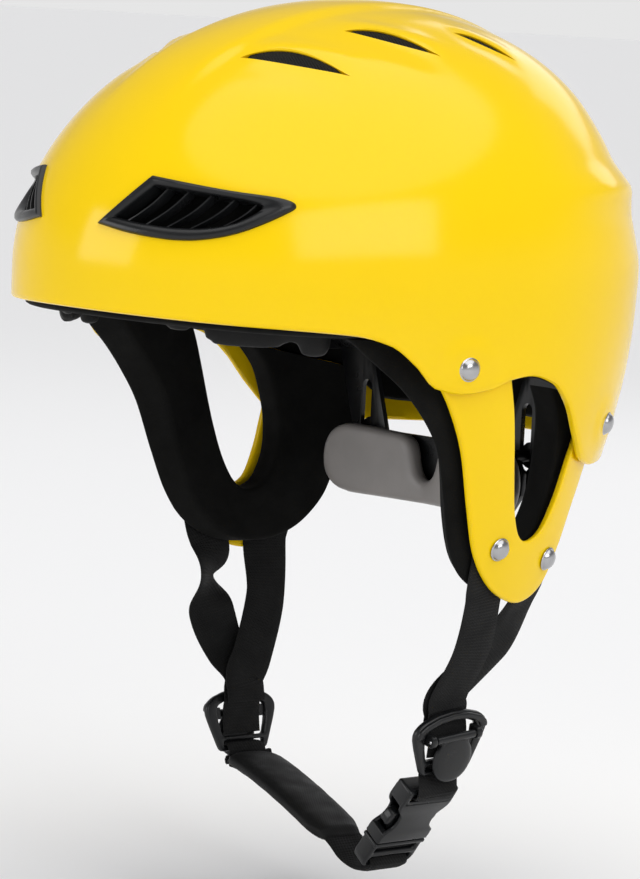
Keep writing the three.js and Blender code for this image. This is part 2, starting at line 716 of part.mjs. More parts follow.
function circle(radius, v, sides = 16) {
  return Array.from({ length: sides }, (_, i) => {
    const a = 2 * Math.PI * i / sides;
    return [radius * Math.cos(a), v + radius * Math.sin(a)];
  });
}

// The strap divider joins the front and rear straps of one side and carries a cam lever.
const DIVIDER = { halfThickness: 1.4, foot: 25.5, topSlot: [2.8, 6.8], footSlot: [21.8, 24.2] };
const DIVIDER_WINDOW = { radius: 6, v: 14.6 };
const DIVIDER_OUTLINE = [
  [-19, 6], [-14, 1.5], [-8, 0], [8, 0], [14, 1.5], [19, 6], [18, 12], [15, 19],
  [11.5, DIVIDER.foot], [-11.5, DIVIDER.foot], [-15, 19], [-18, 12],
];
const LEVER = { pivot: 9.6, disc: 19, radius: 10, halfDisc: 1.2, barrel: 1.9, hole: 1.15, pin: 0.9, rise: 4 };
const LEVER_EAR = { size: [2, 4.4, 6], u: 9.6 };
const LEVER_NECK = [14, 5, 2.2];
const LEVER_BARREL_LENGTH = 16;
const LEVER_PIN_LENGTH = 21;
const LEVER_SIDES = 12;

function leverRod(radius, length, out) {
  return rod(radius, length, [0, LEVER.pivot, out * LEVER.rise], [1, 0, 0], LEVER_SIDES);
}

function divider(out) {
  const holes = [
    slotHole(11.5, ...DIVIDER.topSlot), circle(DIVIDER_WINDOW.radius, DIVIDER_WINDOW.v),
    slotHole(10.6, ...DIVIDER.footSlot),
  ];
  const body = plate(DIVIDER_OUTLINE, holes, -DIVIDER.halfThickness, DIVIDER.halfThickness);
  const ears = [-1, 1].map((end) => boxAt(
    LEVER_EAR.size, [end * LEVER_EAR.u, LEVER.pivot, out * LEVER_EAR.size[2] / 2]));
  return cut(join(body, ...ears), leverRod(LEVER.hole, THROUGH, out));
}

function camLever(out) {
  const level = out * LEVER.rise;
  const disc = plate(
    circle(LEVER.radius, LEVER.disc, 24), [], level - LEVER.halfDisc, level + LEVER.halfDisc);
  const neck = boxAt(LEVER_NECK, [0, LEVER.pivot + LEVER_NECK[1] / 2, level]);
  const barrel = leverRod(LEVER.barrel, LEVER_BARREL_LENGTH, out);
  return cut(join(disc, neck, barrel), leverRod(LEVER.hole, THROUGH, out));
}

const DIVIDER_LEFT = { at: [71, 5, EQUATOR_Z - 169.4], along: [-0.24, 0.1, -1], out: -1 };
const DIVIDER_RIGHT = { at: [-71, 15, EQUATOR_Z - 184], along: [0.2, 0, -1], out: 1 };
for (const [name, { at, along, out }] of [['left', DIVIDER_LEFT], ['right', DIVIDER_RIGHT]]) {
  add(`strap_divider_${name}`, placed(divider(out), at, along), blackPlastic);
  add(`cam_lever_${name}`, placed(camLever(out), at, along), blackPlastic);
  add(`lever_pin_${name}`, placed(leverRod(LEVER.pin, LEVER_PIN_LENGTH, out), at, along), steel);
}

// Side-release buckle: the female half hangs from the left divider.
const BUCKLE = { at: [60.5, 5, EQUATOR_Z - 200], along: [-0.6, 0, -0.8], halfWidth: 13.5 };
const FEMALE = { length: 30, thickness: 9.2, webbing: 4, slot: [21.6, 3] };
const CAVITY = { halfWidth: 10.8, thickness: 5.8, from: 9 };
const WINDOW = { from: 13.5, to: 24 };
const MALE = { from: 30.6, to: 44, thickness: 8.4, webbing: [35, 40.5], slot: [21.6, 2.6] };
const TONGUE = { width: 6, from: 10, to: 32, thickness: 4.4 };
const PRONG = { u: 7.4, pivot: 31, halfThickness: 2.3, socket: [5.4, 4.4, 5.4] };

// A box centred on u and w, between two distances along the webbing.
function lengthBox(width, from, to, thickness) {
  return boxAt([width, to - from, thickness], [0, (from + to) / 2, 0]);
}

function buckleFemale() {
  const body = lengthBox(2 * BUCKLE.halfWidth, 0, FEMALE.length, FEMALE.thickness);
  const cavity = lengthBox(2 * CAVITY.halfWidth, CAVITY.from, FEMALE.length + 2, CAVITY.thickness);
  const windows = lengthBox(THROUGH, WINDOW.from, WINDOW.to, CAVITY.thickness);
  return cut(body, cavity, windows, boxAt([...FEMALE.slot, THROUGH], [0, FEMALE.webbing, 0]));
}

function buckleMale() {
  const base = lengthBox(2 * BUCKLE.halfWidth, MALE.from, MALE.to, MALE.thickness);
  const tongue = lengthBox(TONGUE.width, TONGUE.from, TONGUE.to, TONGUE.thickness);
  const slots = MALE.webbing.map((v) => boxAt([...MALE.slot, THROUGH], [0, v, 0]));
  const roots = [-1, 1].map((end) => boxAt(PRONG.socket, [end * PRONG.u, PRONG.pivot, 0]));
  return cut(join(base, tongue), ...slots, ...roots);
}

function prong(end) {
  const outline = [
    [6, 32.2], [8.8, 32.2], [8.9, 25], [9.6, 23.4], [13.2, 20.5], [13.4, 18], [12, 15],
    [9.4, 13.8], [7.2, 14.4], [6.4, 20],
  ].map(([u, v]) => [end * u, v]);
  return plate(outline, [], -PRONG.halfThickness, PRONG.halfThickness);
}

add('buckle_female', placed(buckleFemale(), BUCKLE.at, BUCKLE.along), blackPlastic);
add('buckle_male', placed(buckleMale(), BUCKLE.at, BUCKLE.along), blackPlastic);
add('buckle_prong_front', placed(prong(-1), BUCKLE.at, BUCKLE.along), blackPlastic);
add('buckle_prong_rear', placed(prong(1), BUCKLE.at, BUCKLE.along), blackPlastic);

// Side straps: from the rivets of the ear guard, through the pocket, down to the divider.
const FRONT_DEPTH = 2.9;        // behind the divider's middle plane
const REAR_DEPTH = 5;           // the rear strap lies behind the front strap
const STRAP_END = [-6, 6.5];    // the last two stations, along the divider
const ACROSS = [0, 1, 0];
const FRONT_TOP = [[3.4, -94], [3.4, -104], [4.5, -116], [6, -124]];
const REAR_TOP = [[37.5, -102], [37, -108], [35.5, -114], [33, -122]];

// In the pocket the webbing lies along the guard. hand is 1 on the left and -1 on the right.
function pocketStations(top, hand) {
  return top.map(([y, height]) => {
    const [x, , z] = side(y, height, STRAP_INSET);
    const [nextX] = side(y + 1, height, STRAP_INSET);
    return { at: [hand * x, y, z], across: [hand * (nextX - x), 1, 0.05] };
  });
}

function sideStrap(top, middle, spot, depth, place) {
  const hand = -spot.out;
  const down = new THREE.Vector3(...spot.along).normalize();
  const ends = STRAP_END.map((v) => {
    const at = new THREE.Vector3(...spot.at).addScaledVector(down, v);
    at.x -= hand * depth;
    return { at: at.toArray(), across: ACROSS };
  });
  const strap = ribbon([...pocketStations(top, hand), ...middle, ...ends]);
  const hole = rivetHole(place);
  return cut(strap, hand > 0 ? hole : mirrored(merged(hole)));
}

add('front_strap_left', sideStrap(
  FRONT_TOP, [{ at: [78, 7, EQUATOR_Z - 144], across: ACROSS }],
  DIVIDER_LEFT, FRONT_DEPTH, RIVETS.guard_front), blackWebbing);
add('rear_strap_left', sideStrap(
  REAR_TOP, [{ at: [74, 23, EQUATOR_Z - 143], across: [0.1, 1, 0.4] }],
  DIVIDER_LEFT, REAR_DEPTH, RIVETS.guard_rear), blackWebbing);
add('front_strap_right', sideStrap(FRONT_TOP, [
  { at: [-81, 3, EQUATOR_Z - 136], across: [-0.6, 0.8, 0.1] },
  { at: [-79, 5, EQUATOR_Z - 152], across: [0.35, 0.9, 0.2] },
  { at: [-75.5, 11, EQUATOR_Z - 168], across: [0.1, 1, 0] },
], DIVIDER_RIGHT, FRONT_DEPTH, RIVETS.guard_front), blackWebbing);
add('rear_strap_right', sideStrap(REAR_TOP, [
  { at: [-75, 31, EQUATOR_Z - 145], across: [0, 1, 0.2] },
  { at: [-69.5, 21, EQUATOR_Z - 168], across: [0, 1, 0.1] },
], DIVIDER_RIGHT, REAR_DEPTH, RIVETS.guard_rear), blackWebbing);

// Chin straps: a short one from the left divider to the buckle, and a long padded one from
// the buckle round under the chin to the right divider. Points are [x, y, height].
const SHORT_ROUTE = [[63.2, 7, -196.6], [62.4, 7, -197.5], [61.7, 7, -198.3]];
const CHIN_ROUTE = [
  [33.6, 5, -236], [28.5, 5, -240], [20, 5, -237.5], [11, 5, -231.6], [-12, 6, -222],
  [-36, 9, -215], [-57, 13, -211.5], [-62.6, 14.6, -212.8],
];
const SLEEVE = { from: 3, to: 6, halfWidth: 13, halfThickness: 3.6, clearance: 1.2 };

function stationsOf(route) {
  return route.map(([x, y, height]) => ({ at: [x, y, EQUATOR_Z + height], across: ACROSS }));
}

function chinSleeve() {
  const { from, to, halfWidth, halfThickness, clearance } = SLEEVE;
  const body = ribbon(stationsOf(CHIN_ROUTE.slice(from, to + 1)), 2 * halfWidth, 2 * halfThickness);
  const bore = ribbon(stationsOf(CHIN_ROUTE.slice(from - 1)),
    WEBBING_WIDTH + clearance, WEBBING_THICKNESS + clearance);
  return cut(body, bore);
}

add('chin_strap_left', ribbon(stationsOf(SHORT_ROUTE)), blackWebbing);
add('chin_strap_right', ribbon(stationsOf(CHIN_ROUTE)), blackWebbing);
add('chin_sleeve', chinSleeve(), blackFabric);

export default helmet;
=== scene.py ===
"""Looks of the water helmet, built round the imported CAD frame. Shapes are worked out in
millimetres, +Z up with the front towards -Y, and become metres when a mesh is made."""
import math

import bmesh
import bpy
from mathutils import Matrix, Vector, noise
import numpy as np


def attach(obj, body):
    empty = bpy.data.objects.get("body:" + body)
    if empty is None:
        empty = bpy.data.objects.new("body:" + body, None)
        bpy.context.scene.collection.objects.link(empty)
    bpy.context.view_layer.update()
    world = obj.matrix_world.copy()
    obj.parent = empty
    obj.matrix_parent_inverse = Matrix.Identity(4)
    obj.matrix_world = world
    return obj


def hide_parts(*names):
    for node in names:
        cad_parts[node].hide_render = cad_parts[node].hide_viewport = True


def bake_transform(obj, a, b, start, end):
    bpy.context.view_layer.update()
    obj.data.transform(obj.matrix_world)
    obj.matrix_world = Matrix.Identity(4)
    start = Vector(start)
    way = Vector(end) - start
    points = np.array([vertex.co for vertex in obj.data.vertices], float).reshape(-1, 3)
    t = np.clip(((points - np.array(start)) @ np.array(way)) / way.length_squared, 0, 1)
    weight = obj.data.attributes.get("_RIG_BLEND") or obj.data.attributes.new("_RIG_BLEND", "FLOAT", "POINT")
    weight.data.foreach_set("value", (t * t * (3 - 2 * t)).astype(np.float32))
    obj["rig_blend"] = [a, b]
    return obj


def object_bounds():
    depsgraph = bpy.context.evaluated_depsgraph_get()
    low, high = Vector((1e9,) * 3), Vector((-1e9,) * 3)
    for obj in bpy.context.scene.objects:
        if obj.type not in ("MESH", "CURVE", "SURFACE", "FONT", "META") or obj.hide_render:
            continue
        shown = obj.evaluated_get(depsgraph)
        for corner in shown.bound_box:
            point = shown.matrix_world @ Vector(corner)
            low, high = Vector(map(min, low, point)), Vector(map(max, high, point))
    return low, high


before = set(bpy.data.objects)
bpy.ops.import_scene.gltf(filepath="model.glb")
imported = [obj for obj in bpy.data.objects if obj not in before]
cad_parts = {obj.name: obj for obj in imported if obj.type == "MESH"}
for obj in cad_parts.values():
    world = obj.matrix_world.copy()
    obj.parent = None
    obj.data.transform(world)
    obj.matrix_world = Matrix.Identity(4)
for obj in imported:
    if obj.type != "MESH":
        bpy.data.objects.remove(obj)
cad_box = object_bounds()

MM = 0.001
EQUATOR = -84
HALF_WIDTH, FRONT_LENGTH, REAR_LENGTH, DOME_HEIGHT = 110, 148, 125, 108
FRONT_ROUNDNESS, REAR_ROUNDNESS = 1.95, 2.2
SIDE_TAPER, FRONT_TAPER, REAR_TAPER, SKIRT_DEPTH = 0.115, 0.06, 0.25, 68
SHELL_THICKNESS = 3
LINER_INSET, LINER_INNER = 5.5, 16.5
GUARD_INSET, GUARD_INNER = 3.8, 6.8
FOAM_INSET, FOAM_INNER = 9.8, 22.8
STRAP_INSET = 8.3
WEBBING_WIDTH, WEBBING_THICKNESS = 20, 1.4
SPLINE_STEPS = 24
BOTH = (("left", 1), ("right", -1))


# ---- Small helpers --------------------------------------------------------------------------
def smooth(low, high, value):
    t = min(max((value - low) / (high - low), 0), 1)
    return t * t * (3 - 2 * t)


def bump(value, width):
    return math.exp(-((value / width) ** 2))


def lerp(a, b, t):
    return a + (b - a) * t


def profile(points, x):
    """The value at x of a smooth line through [x, value] points that never overshoots them."""
    last = len(points) - 1
    i = 0
    while i < last - 1 and x > points[i + 1][0]:
        i += 1
    slopes = [(b[1] - a[1]) / (b[0] - a[0]) for a, b in zip(points, points[1:])]

    def tangent(k):
        if k in (0, last) or slopes[k - 1] * slopes[k] <= 0:
            return 0
        return 2 * slopes[k - 1] * slopes[k] / (slopes[k - 1] + slopes[k])

    (x0, y0), (x1, y1) = points[i], points[i + 1]
    span = x1 - x0
    t = min(max((x - x0) / span, 0), 1)
    ease = tangent(i) * t * (1 - t) ** 2 - tangent(i + 1) * t * t * (1 - t)
    return lerp(y0, y1, smooth(x0, x1, x)) + span * ease


def between(p0, p1, p2, p3, t):
    """The point at t from p1 to p2 on the smooth line through four points."""
    return 0.5 * (2 * p1 + (p2 - p0) * t + (2 * p0 - 5 * p1 + 4 * p2 - p3) * t * t
                  + (3 * p1 - p0 - 3 * p2 + p3) * t ** 3)


def turn(count):
    """The angles of count even steps round a circle."""
    return [2 * math.pi * k / count for k in range(count)]


def spline(points, count):
    """count points, evenly spread, on a smooth line through the given ones."""
    points = [Vector(p) for p in points]
    last = len(points) - 1
    fine = []
    for i in range(last):
        near = [points[min(max(i + k, 0), last)] for k in (-1, 0, 1, 2)]
        fine += [between(*near, k / SPLINE_STEPS) for k in range(SPLINE_STEPS)]
    fine.append(points[-1])
    lengths = [0]
    for a, b in zip(fine, fine[1:]):
        lengths.append(lengths[-1] + (b - a).length)
    result, j = [], 0
    for i in range(count):
        goal = lengths[-1] * i / (count - 1)
        while j < len(fine) - 2 and lengths[j + 1] < goal:
            j += 1
        span = lengths[j + 1] - lengths[j]
        result.append(fine[j].lerp(fine[j + 1], (goal - lengths[j]) / span if span else 0))
    return result


def linked(name, data):
    obj = bpy.data.objects.new(name, data)
    bpy.context.scene.collection.objects.link(obj)
    return obj


def mesh_object(name, points, faces, sharp=40):
    mesh = bpy.data.meshes.new(name)
    mesh.from_pydata([Vector(p) * MM for p in points], [], faces)
    work = bmesh.new()
    work.from_mesh(mesh)
    bmesh.ops.remove_doubles(work, verts=work.verts, dist=1e-7)
    bmesh.ops.recalc_face_normals(work, faces=work.faces)
    work.to_mesh(mesh)
    work.free()
    obj = linked(name, mesh)
    shade(obj, sharp)
    return obj


def shade(obj, sharp=40):
    for polygon in obj.data.polygons:
        polygon.use_smooth = True
    obj.data.set_sharp_from_angle(angle=math.radians(sharp))


def loft(name, rings, loop=False, sharp=40):
    """A closed mesh over rings with equal counts of points, with fans on its two ends."""
    rows, columns = len(rings), len(rings[0])
    points = [p for ring in rings for p in ring]
    faces = []
    for r in range(rows if loop else rows - 1):
        a, b = r * columns, (r + 1) % rows * columns
        faces += [(a + c, a + (c + 1) % columns, b + (c + 1) % columns, b + c) for c in range(columns)]
    if not loop:
        for base in (0, (rows - 1) * columns):
            middle = sum((Vector(points[base + c]) for c in range(columns)), Vector()) / columns
            points.append(middle)
            faces += [(base + c, base + (c + 1) % columns, len(points) - 1) for c in range(columns)]
    return mesh_object(name, points, faces, sharp)


def handed(rings, hand):
    """The rings as they are for the left hand, 1, and mirrored for the right hand, -1."""
    return [[(hand * p[0], p[1], p[2]) for p in ring] for ring in rings]


def bake(obj):
    """Applies the modifiers."""
    bpy.context.view_layer.update()
    graph = bpy.context.evaluated_depsgraph_get()
    mesh = bpy.data.meshes.new_from_object(obj.evaluated_get(graph))
    obj.modifiers.clear()
    obj.data = mesh


def remeshed(obj, voxel):
    remesh = obj.modifiers.new("remesh", "REMESH")
    remesh.mode, remesh.voxel_size = "VOXEL", voxel
    bake(obj)


def joined(name, parts):
    base = parts[0]
    for part in parts:
        part.select_set(True)
    bpy.context.view_layer.objects.active = base
    with bpy.context.temp_override(active_object=base, selected_editable_objects=parts):
        bpy.ops.object.join()
    base.name = name
    return base


def place(obj, body, slot, *nodes):
    obj.data.materials.clear()
    obj.data.materials.append(MATERIALS[slot])
    if body:
        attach(obj, body)
    if nodes:
        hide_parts(*nodes)
    return obj


# ---- Materials ------------------------------------------------------------------------------
def finish_material(name, colour, roughness, *, metallic=0.0, specular=0.5, sheen=0.0, spread=0.08,
                    patches=40, grain=1200, relief=0.1, wear=0.0, weave=0.0, depth=0.0002):
    """A procedural surface: cloudy colour, grain in the bump, uneven gloss and worn edges."""
    material = bpy.data.materials.new(name)
    material.use_nodes = True
    nodes, links = material.node_tree.nodes, material.node_tree.links
    shader = nodes["Principled BSDF"]
    for key, number in (("Metallic", metallic), ("Specular IOR Level", specular),
                        ("Sheen Weight", sheen), ("Sheen Roughness", 0.5)):
        shader.inputs[key].default_value = number
    where = nodes.new("ShaderNodeTexCoord").outputs["Object"]

    def clouds(scale, detail):
        texture = nodes.new("ShaderNodeTexNoise")
        texture.inputs["Scale"].default_value = scale
        texture.inputs["Detail"].default_value = detail
        links.new(where, texture.inputs["Vector"])
        return texture.outputs["Fac"]

    def ranged(value, low, high, start=0.3, end=0.7):
        change = nodes.new("ShaderNodeMapRange")
        for key, number in (("From Min", start), ("From Max", end), ("To Min", low), ("To Max", high)):
            change.inputs[key].default_value = number
        links.new(value, change.inputs["Value"])
        return change.outputs["Result"]

    def mixed(factor, first, second):
        mix = nodes.new("ShaderNodeMix")
        mix.data_type = "RGBA"
        links.new(factor, mix.inputs["Factor"])
        for socket, value in ((mix.inputs[6], first), (mix.inputs[7], second)):
            if isinstance(value, tuple):
                socket.default_value = (*value, 1)
            else:
                links.new(value, socket)
        return mix.outputs[2]

    dark = tuple(c * (1 - spread) for c in colour)
    light = tuple(min(c * (1 + spread), 1) for c in colour)
    base = mixed(ranged(clouds(patches, 4), 0, 1), dark, light)
    if wear:
        edges = nodes.new("ShaderNodeNewGeometry").outputs["Pointiness"]
        worn = tuple(min(c * 1.6 + 0.02, 1) for c in colour)
        base = mixed(ranged(edges, 0, wear, 0.52, 0.6), base, worn)
    height = clouds(grain, 3)
    if weave:
        wave = nodes.new("ShaderNodeTexWave")
        wave.inputs["Scale"].default_value = weave
        wave.inputs["Distortion"].default_value = 0.6
        wave.bands_direction = "DIAGONAL"
        links.new(where, wave.inputs["Vector"])
        base = mixed(ranged(wave.outputs["Fac"], 0, 0.5, 0.2, 0.8), base, light)
        total = nodes.new("ShaderNodeMath")
        total.operation = "ADD"
        links.new(height, total.inputs[0])
        links.new(wave.outputs["Fac"], total.inputs[1])
        height = total.outputs[0]
    links.new(base, shader.inputs["Base Color"])
    links.new(ranged(clouds(patches * 3, 5), roughness * 0.88, min(roughness * 1.12, 1)),
              shader.inputs["Roughness"])
    relief_node = nodes.new("ShaderNodeBump")
    relief_node.inputs["Strength"].default_value = relief
    relief_node.inputs["Distance"].default_value = depth
    links.new(height, relief_node.inputs["Height"])
    links.new(relief_node.outputs["Normal"], shader.inputs["Normal"])
    return material


MATERIALS = {
    "shell_yellow": finish_material(
        "gloss_yellow_plastic", (0.86, 0.575, 0.002), 0.15, specular=0.22, spread=0.012, patches=14,
        grain=300, relief=0.02),
    "black_plastic": finish_material(
        "satin_black_plastic", (0.005, 0.0054, 0.006), 0.3, specular=0.36, spread=0.15, grain=2600,
        relief=0.25, wear=0.25, depth=0.0001),
    "grey_rubber": finish_material(
        "grey_moulded_pad", (0.225, 0.21, 0.2), 0.42, spread=0.1, grain=3200, relief=0.3,
        depth=0.0001),
    "black_foam": finish_material(
        "black_cell_foam", (0.006, 0.006, 0.0056), 0.9, specular=0.08, sheen=0.015, spread=0.3,
        grain=2200, relief=0.6),
    "black_mesh": finish_material(
        "black_fine_mesh", (0.008, 0.008, 0.008), 0.6, specular=0.3, spread=0.2, grain=3000,
        relief=0.8, weave=380, depth=0.0006),
    "black_webbing": finish_material(
        "black_webbing", (0.007, 0.007, 0.007), 0.75, specular=0.15, sheen=0.03, spread=0.35,
        grain=3400, relief=0.5, weave=420),
    "black_fabric": finish_material(
        "black_pad_fabric", (0.0045, 0.0045, 0.0045), 0.55, specular=0.2, sheen=0.015, spread=0.3,
        grain=3000, relief=0.35, weave=520, depth=0.0001),
    "rivet_steel": finish_material(
        "polished_rivet", (0.42, 0.42, 0.43), 0.22, metallic=1, spread=0.06, grain=900, relief=0.08,
        wear=0.3),
}


# ---- The shell's surface --------------------------------------------------------------------
def taper(height, share):
    return 1 - share * (height / 100) ** 2


def length_taper(front, height):
    return taper(height, FRONT_TAPER) if front else taper(max(height, -SKIRT_DEPTH), REAR_TAPER)


def skin(theta, height, inset=0):
    s, c = math.sin(theta), math.cos(theta)
    length = (FRONT_LENGTH if c > 0 else REAR_LENGTH) - inset
    radius = 1 / math.hypot(s / (HALF_WIDTH - inset), c / length)
    if height >= 0:
        power = lerp(FRONT_ROUNDNESS, REAR_ROUNDNESS, (1 - c) / 2)
        share = min(height / DOME_HEIGHT, 1)
        r = radius * (1 - share ** power) ** (1 / power)
        return Vector((r * s, -r * c, EQUATOR + share * (DOME_HEIGHT - inset)))
    return Vector((radius * s * taper(height, SIDE_TAPER),
                   -radius * c * length_taper(c > 0, height), EQUATOR + height))


def side(y, height, inset=0):
    length = ((FRONT_LENGTH if y < 0 else REAR_LENGTH) - inset) * length_taper(y < 0, height)
    x = (HALF_WIDTH - inset) * math.sqrt(max(1 - (y / length) ** 2, 0)) * taper(height, SIDE_TAPER)
    return Vector((x, y, EQUATOR + height))


SHELL_EDGE = [
    (0, -11.5), (30, -13.5), (50, -15.5), (57, -19), (62, -26), (67, -35), (73, -37), (80, -35.5),
    (85, -32), (91, -30.4), (98, -33.5), (104, -42), (110, -55), (117, -66), (126, -69), (180, -66),
]
LINER_EDGE = [
    (0, -14), (46, -16.5), (60, -15), (85, -15), (90, -30), (100, -32), (110, -36), (120, -40.5),
    (132, -44), (146, -58), (180, -59),
]
MESH_INSET, MESH_LIFT, MESH_SLOPE, MESH_COVER = 3.5, 2.7, 3.6, 0.5
# A slot is too narrow to lift the mesh below the first width, and lifts it in full from the second.
LIFT_WIDTHS = (0.6, 2.6)
CROWN_SLOTS = [((25, -84), (60, -58), 6), ((37, -42), (63, -14), 5.2), ((48, 6), (62, 28), 3.6)]
RIVETS = {
    "shell_front": (-31, -28.8, 0), "shell_rear": (62.5, -53.6, 0),
    "guard_front": (3.4, -101.3, GUARD_INSET), "guard_rear": (37, -107.5, GUARD_INSET),
}
SPINE_HALF, SPINE_EDGE, SPINE_RISE = 15, 9, 1.5
# How far the rear stands out at each height above the equator: a ridge over a shallow hollow.
REAR_LINE = [(-10, 0), (8, 0.3), (18, -0.5), (27, -1.1), (35, 0.3), (39, 1.5), (44, 0), (52, -2),
             (64, -1.6), (78, -0.4), (90, 0)]
REAR_FROM, REAR_TO = 92, 128
# How far the shell stands out round its rivets: in full within one distance, none past the other.
TAB_RISE, TAB_FULL, TAB_NONE = 0.7, 9, 13


def slot_frame(start, end):
    """A slot's middle line in the plan view: its length, direction and the direction to the spine."""
    line = Vector(end) - Vector(start)
    along = line.normalized()
    return line.length, along, Vector((-along.y, along.x))


def slot_shape(x, y):
    """Raised hood on the spine's side of each crown slot, and a shallow scoop on the other side."""
    total = 0
    for start, end, bulge in CROWN_SLOTS:
        length, along, inward = slot_frame(start, end)
        offset = Vector((abs(x), y)) - Vector(start)
        t = offset.dot(along) / length
        across = offset.dot(inward)
        fade = smooth(-0.2, 0.3, t) * (1 - smooth(0.7, 1.2, t))
        total += fade * (0.9 * bump(across - bulge - 2, 5) - 0.6 * bump(across + bulge + 1, 6))
    return total


def relief_at(theta, height, point):
    x, y = point.x, point.y
    angle = abs(math.degrees(math.atan2(math.sin(theta), math.cos(theta))))
    rear = smooth(REAR_FROM, REAR_TO, angle)
    total = rear * profile(REAR_LINE, height)
    if height > 20:
        spine = 1 - smooth(SPINE_HALF, SPINE_HALF + SPINE_EDGE, abs(x))
        front_fade = smooth(-122, -84, y)
        rear_fade = smooth(48, 66, height) if y > 0 else 1
        total += SPINE_RISE * spine * front_fade * rear_fade + slot_shape(x, y)
    if height < -10:
        for name in ("shell_front", "shell_rear"):
            y0, h0, _ = RIVETS[name]
            total += TAB_RISE * (1 - smooth(TAB_FULL, TAB_NONE, math.hypot(y - y0, height - h0)))
    return total


def shell_rings(edge, outer_inset, inner_inset, columns, shaped, rim=4):
    """Rings from the top of the outside down to the edge, round it, and up the inside."""
    angles = turn(columns)
    rise, drop = 62, 22
    edges = [profile(edge, abs(math.degrees(math.atan2(math.sin(a), math.cos(a))))) for a in angles]

    def point(a, height, inset):
        base = skin(a, height, inset)
        if shaped:
            step = 0.01
            across = skin(a + step, height, inset) - base
            up = skin(a, height + step, inset) - base if height < DOME_HEIGHT - 1 else Vector((0, 0, 0))
            normal = up.cross(across) if up.length else Vector((0, 0, -1))
            normal = normal.normalized() if normal.length > 1e-9 else Vector((0, 0, 1))
            if normal.dot(base - Vector((0, 0, EQUATOR - 30))) < 0:
                normal = -normal
            base = base + normal * relief_at(a, height, base)
        return base

    def surface(inset, flip_order):
        rows = []
        for r in range(rise, 0, -1):
            height = DOME_HEIGHT * math.sin(math.pi / 2 * r / rise) * 0.99999
            rows.append([point(a, height, inset) for a in angles])
        for r in range(drop + 1):
            t = r / drop
            rows.append([point(a, e * t, inset) for a, e in zip(angles, edges)])
        return rows[::-1] if flip_order else rows

    outside, inside = surface(outer_inset, False), surface(inner_inset, True)
    half = (inner_inset - outer_inset) / 2
    rim_rows = []
    for k in range(1, rim):
        swing = math.pi * k / rim
        inset = outer_inset + half * (1 - math.cos(swing))
        low = min(half, 2.2) * math.sin(swing)
        rim_rows.append([point(a, e - low, inset) for a, e in zip(angles, edges)])
    return outside + rim_rows + inside


def dome_point(x, y, inset=0):
    """The dome's surface over a point of the plan view."""
    theta = math.atan2(x, -y)
    power = lerp(FRONT_ROUNDNESS, REAR_ROUNDNESS, (1 - math.cos(theta)) / 2)
    share = min(math.hypot(x / HALF_WIDTH, y / (FRONT_LENGTH if y < 0 else REAR_LENGTH)), 0.97)
    return skin(theta, DOME_HEIGHT * (1 - share ** power) ** (1 / power), inset)


def slot_bows(t):
    """How far a slot's two edges stand from its middle line, in bulges, at t along it."""
    return -0.4 * math.sin(math.pi * t), 0.9 * math.sin(math.pi * t ** 0.75) ** 1.2


def mesh_inset(x, y):
    """The crown mesh lies under the shell, and rises behind each slot up to its far edge."""
    inset = MESH_INSET
    for start, end, bulge in CROWN_SLOTS:
        length, along, inward = slot_frame(start, end)
        offset = Vector((x, y)) - Vector(start)
        t, across = offset.dot(along) / length, offset.dot(inward)
        if 0 < t < 1:
            low, high = (bulge * bow for bow in slot_bows(t))
            rising = smooth(high - MESH_SLOPE, high, across)
            lift = MESH_LIFT * smooth(*LIFT_WIDTHS, high - low) * rising
            under_edge = MESH_COVER + 0.45 * max(across - high, 0)
            inset = min(inset, max(MESH_INSET - lift, under_edge))
    return inset


def slot_tool(start, end, bulge, undercut):
    """A crown slot's cutter: arched on the spine's side, flatter below and with a thin tail."""
    steps = 20
    length, along, inward = slot_frame(start, end)
    outline = []
    for hand in (-1, 1):
        for i in range(steps):
            t = i / steps if hand < 0 else 1 - i / steps
            low, high = slot_bows(t)
            outline.append(Vector(start) + along * t * length + inward * bulge * (high if hand > 0 else low))
    rings = []
    for rise in (7, 0, -9):
        ring = []
        for p in outline:
            q = p - inward * min(rise, 0) * undercut
            ring.append(dome_point(p.x, p.y) + Vector((q.x - p.x, q.y - p.y, rise)))
        rings.append(ring)
    return rings


# The vent's outer edge and its opening, as [angle, height]. The two lists pair up.
VENT_OUTLINE = [
    (7, 19.6), (14.2, 38.7), (26.7, 35.2), (36, 33.2), (38.4, 30.6), (36.6, 27.2), (30.3, 20.1),
    (24.8, 16.6), (19.7, 15.7), (13.1, 17),
]
VENT_OPENING = [
    (9.9, 22.6), (14.9, 35.2), (26.2, 32.6), (31.4, 31), (32.8, 29.6), (31.6, 27), (28.6, 23.2),
    (24.5, 20.9), (19.5, 20.3), (14, 21.2),
]
VENT_CORNERS = (0, 1)
MM_PER_DEGREE = 2.35
VENT_STEPS = 16


def vent_line(points):
    """A closed line through the points, sharp at the vent's two front corners."""
    flat = [Vector((u * MM_PER_DEGREE, v)) for u, v in points]
    n = len(flat)
    line = []
    for i in range(n):
        p1, p2 = flat[i], flat[(i + 1) % n]
        p0 = flat[i - 1] if i not in VENT_CORNERS else p1 * 2 - p2
        p3 = flat[(i + 2) % n] if (i + 1) % n not in VENT_CORNERS else p2 * 2 - p1
        line += [between(p0, p1, p2, p3, k / VENT_STEPS) for k in range(VENT_STEPS)]
    return line


OUTER_VENT, INNER_VENT = vent_line(VENT_OUTLINE), vent_line(VENT_OPENING)


def vent_ring(share, inset, grow=0):
    """The line a share of the way from the vent's outer edge to its opening."""
    middle = sum(OUTER_VENT, Vector((0, 0))) / len(OUTER_VENT)
    ring = []
    for p, q in zip(OUTER_VENT, INNER_VENT):
        spot = p.lerp(q, share) + (p - middle).normalized() * grow
        ring.append(skin(math.radians(spot.x / MM_PER_DEGREE), spot.y, inset))
    return ring


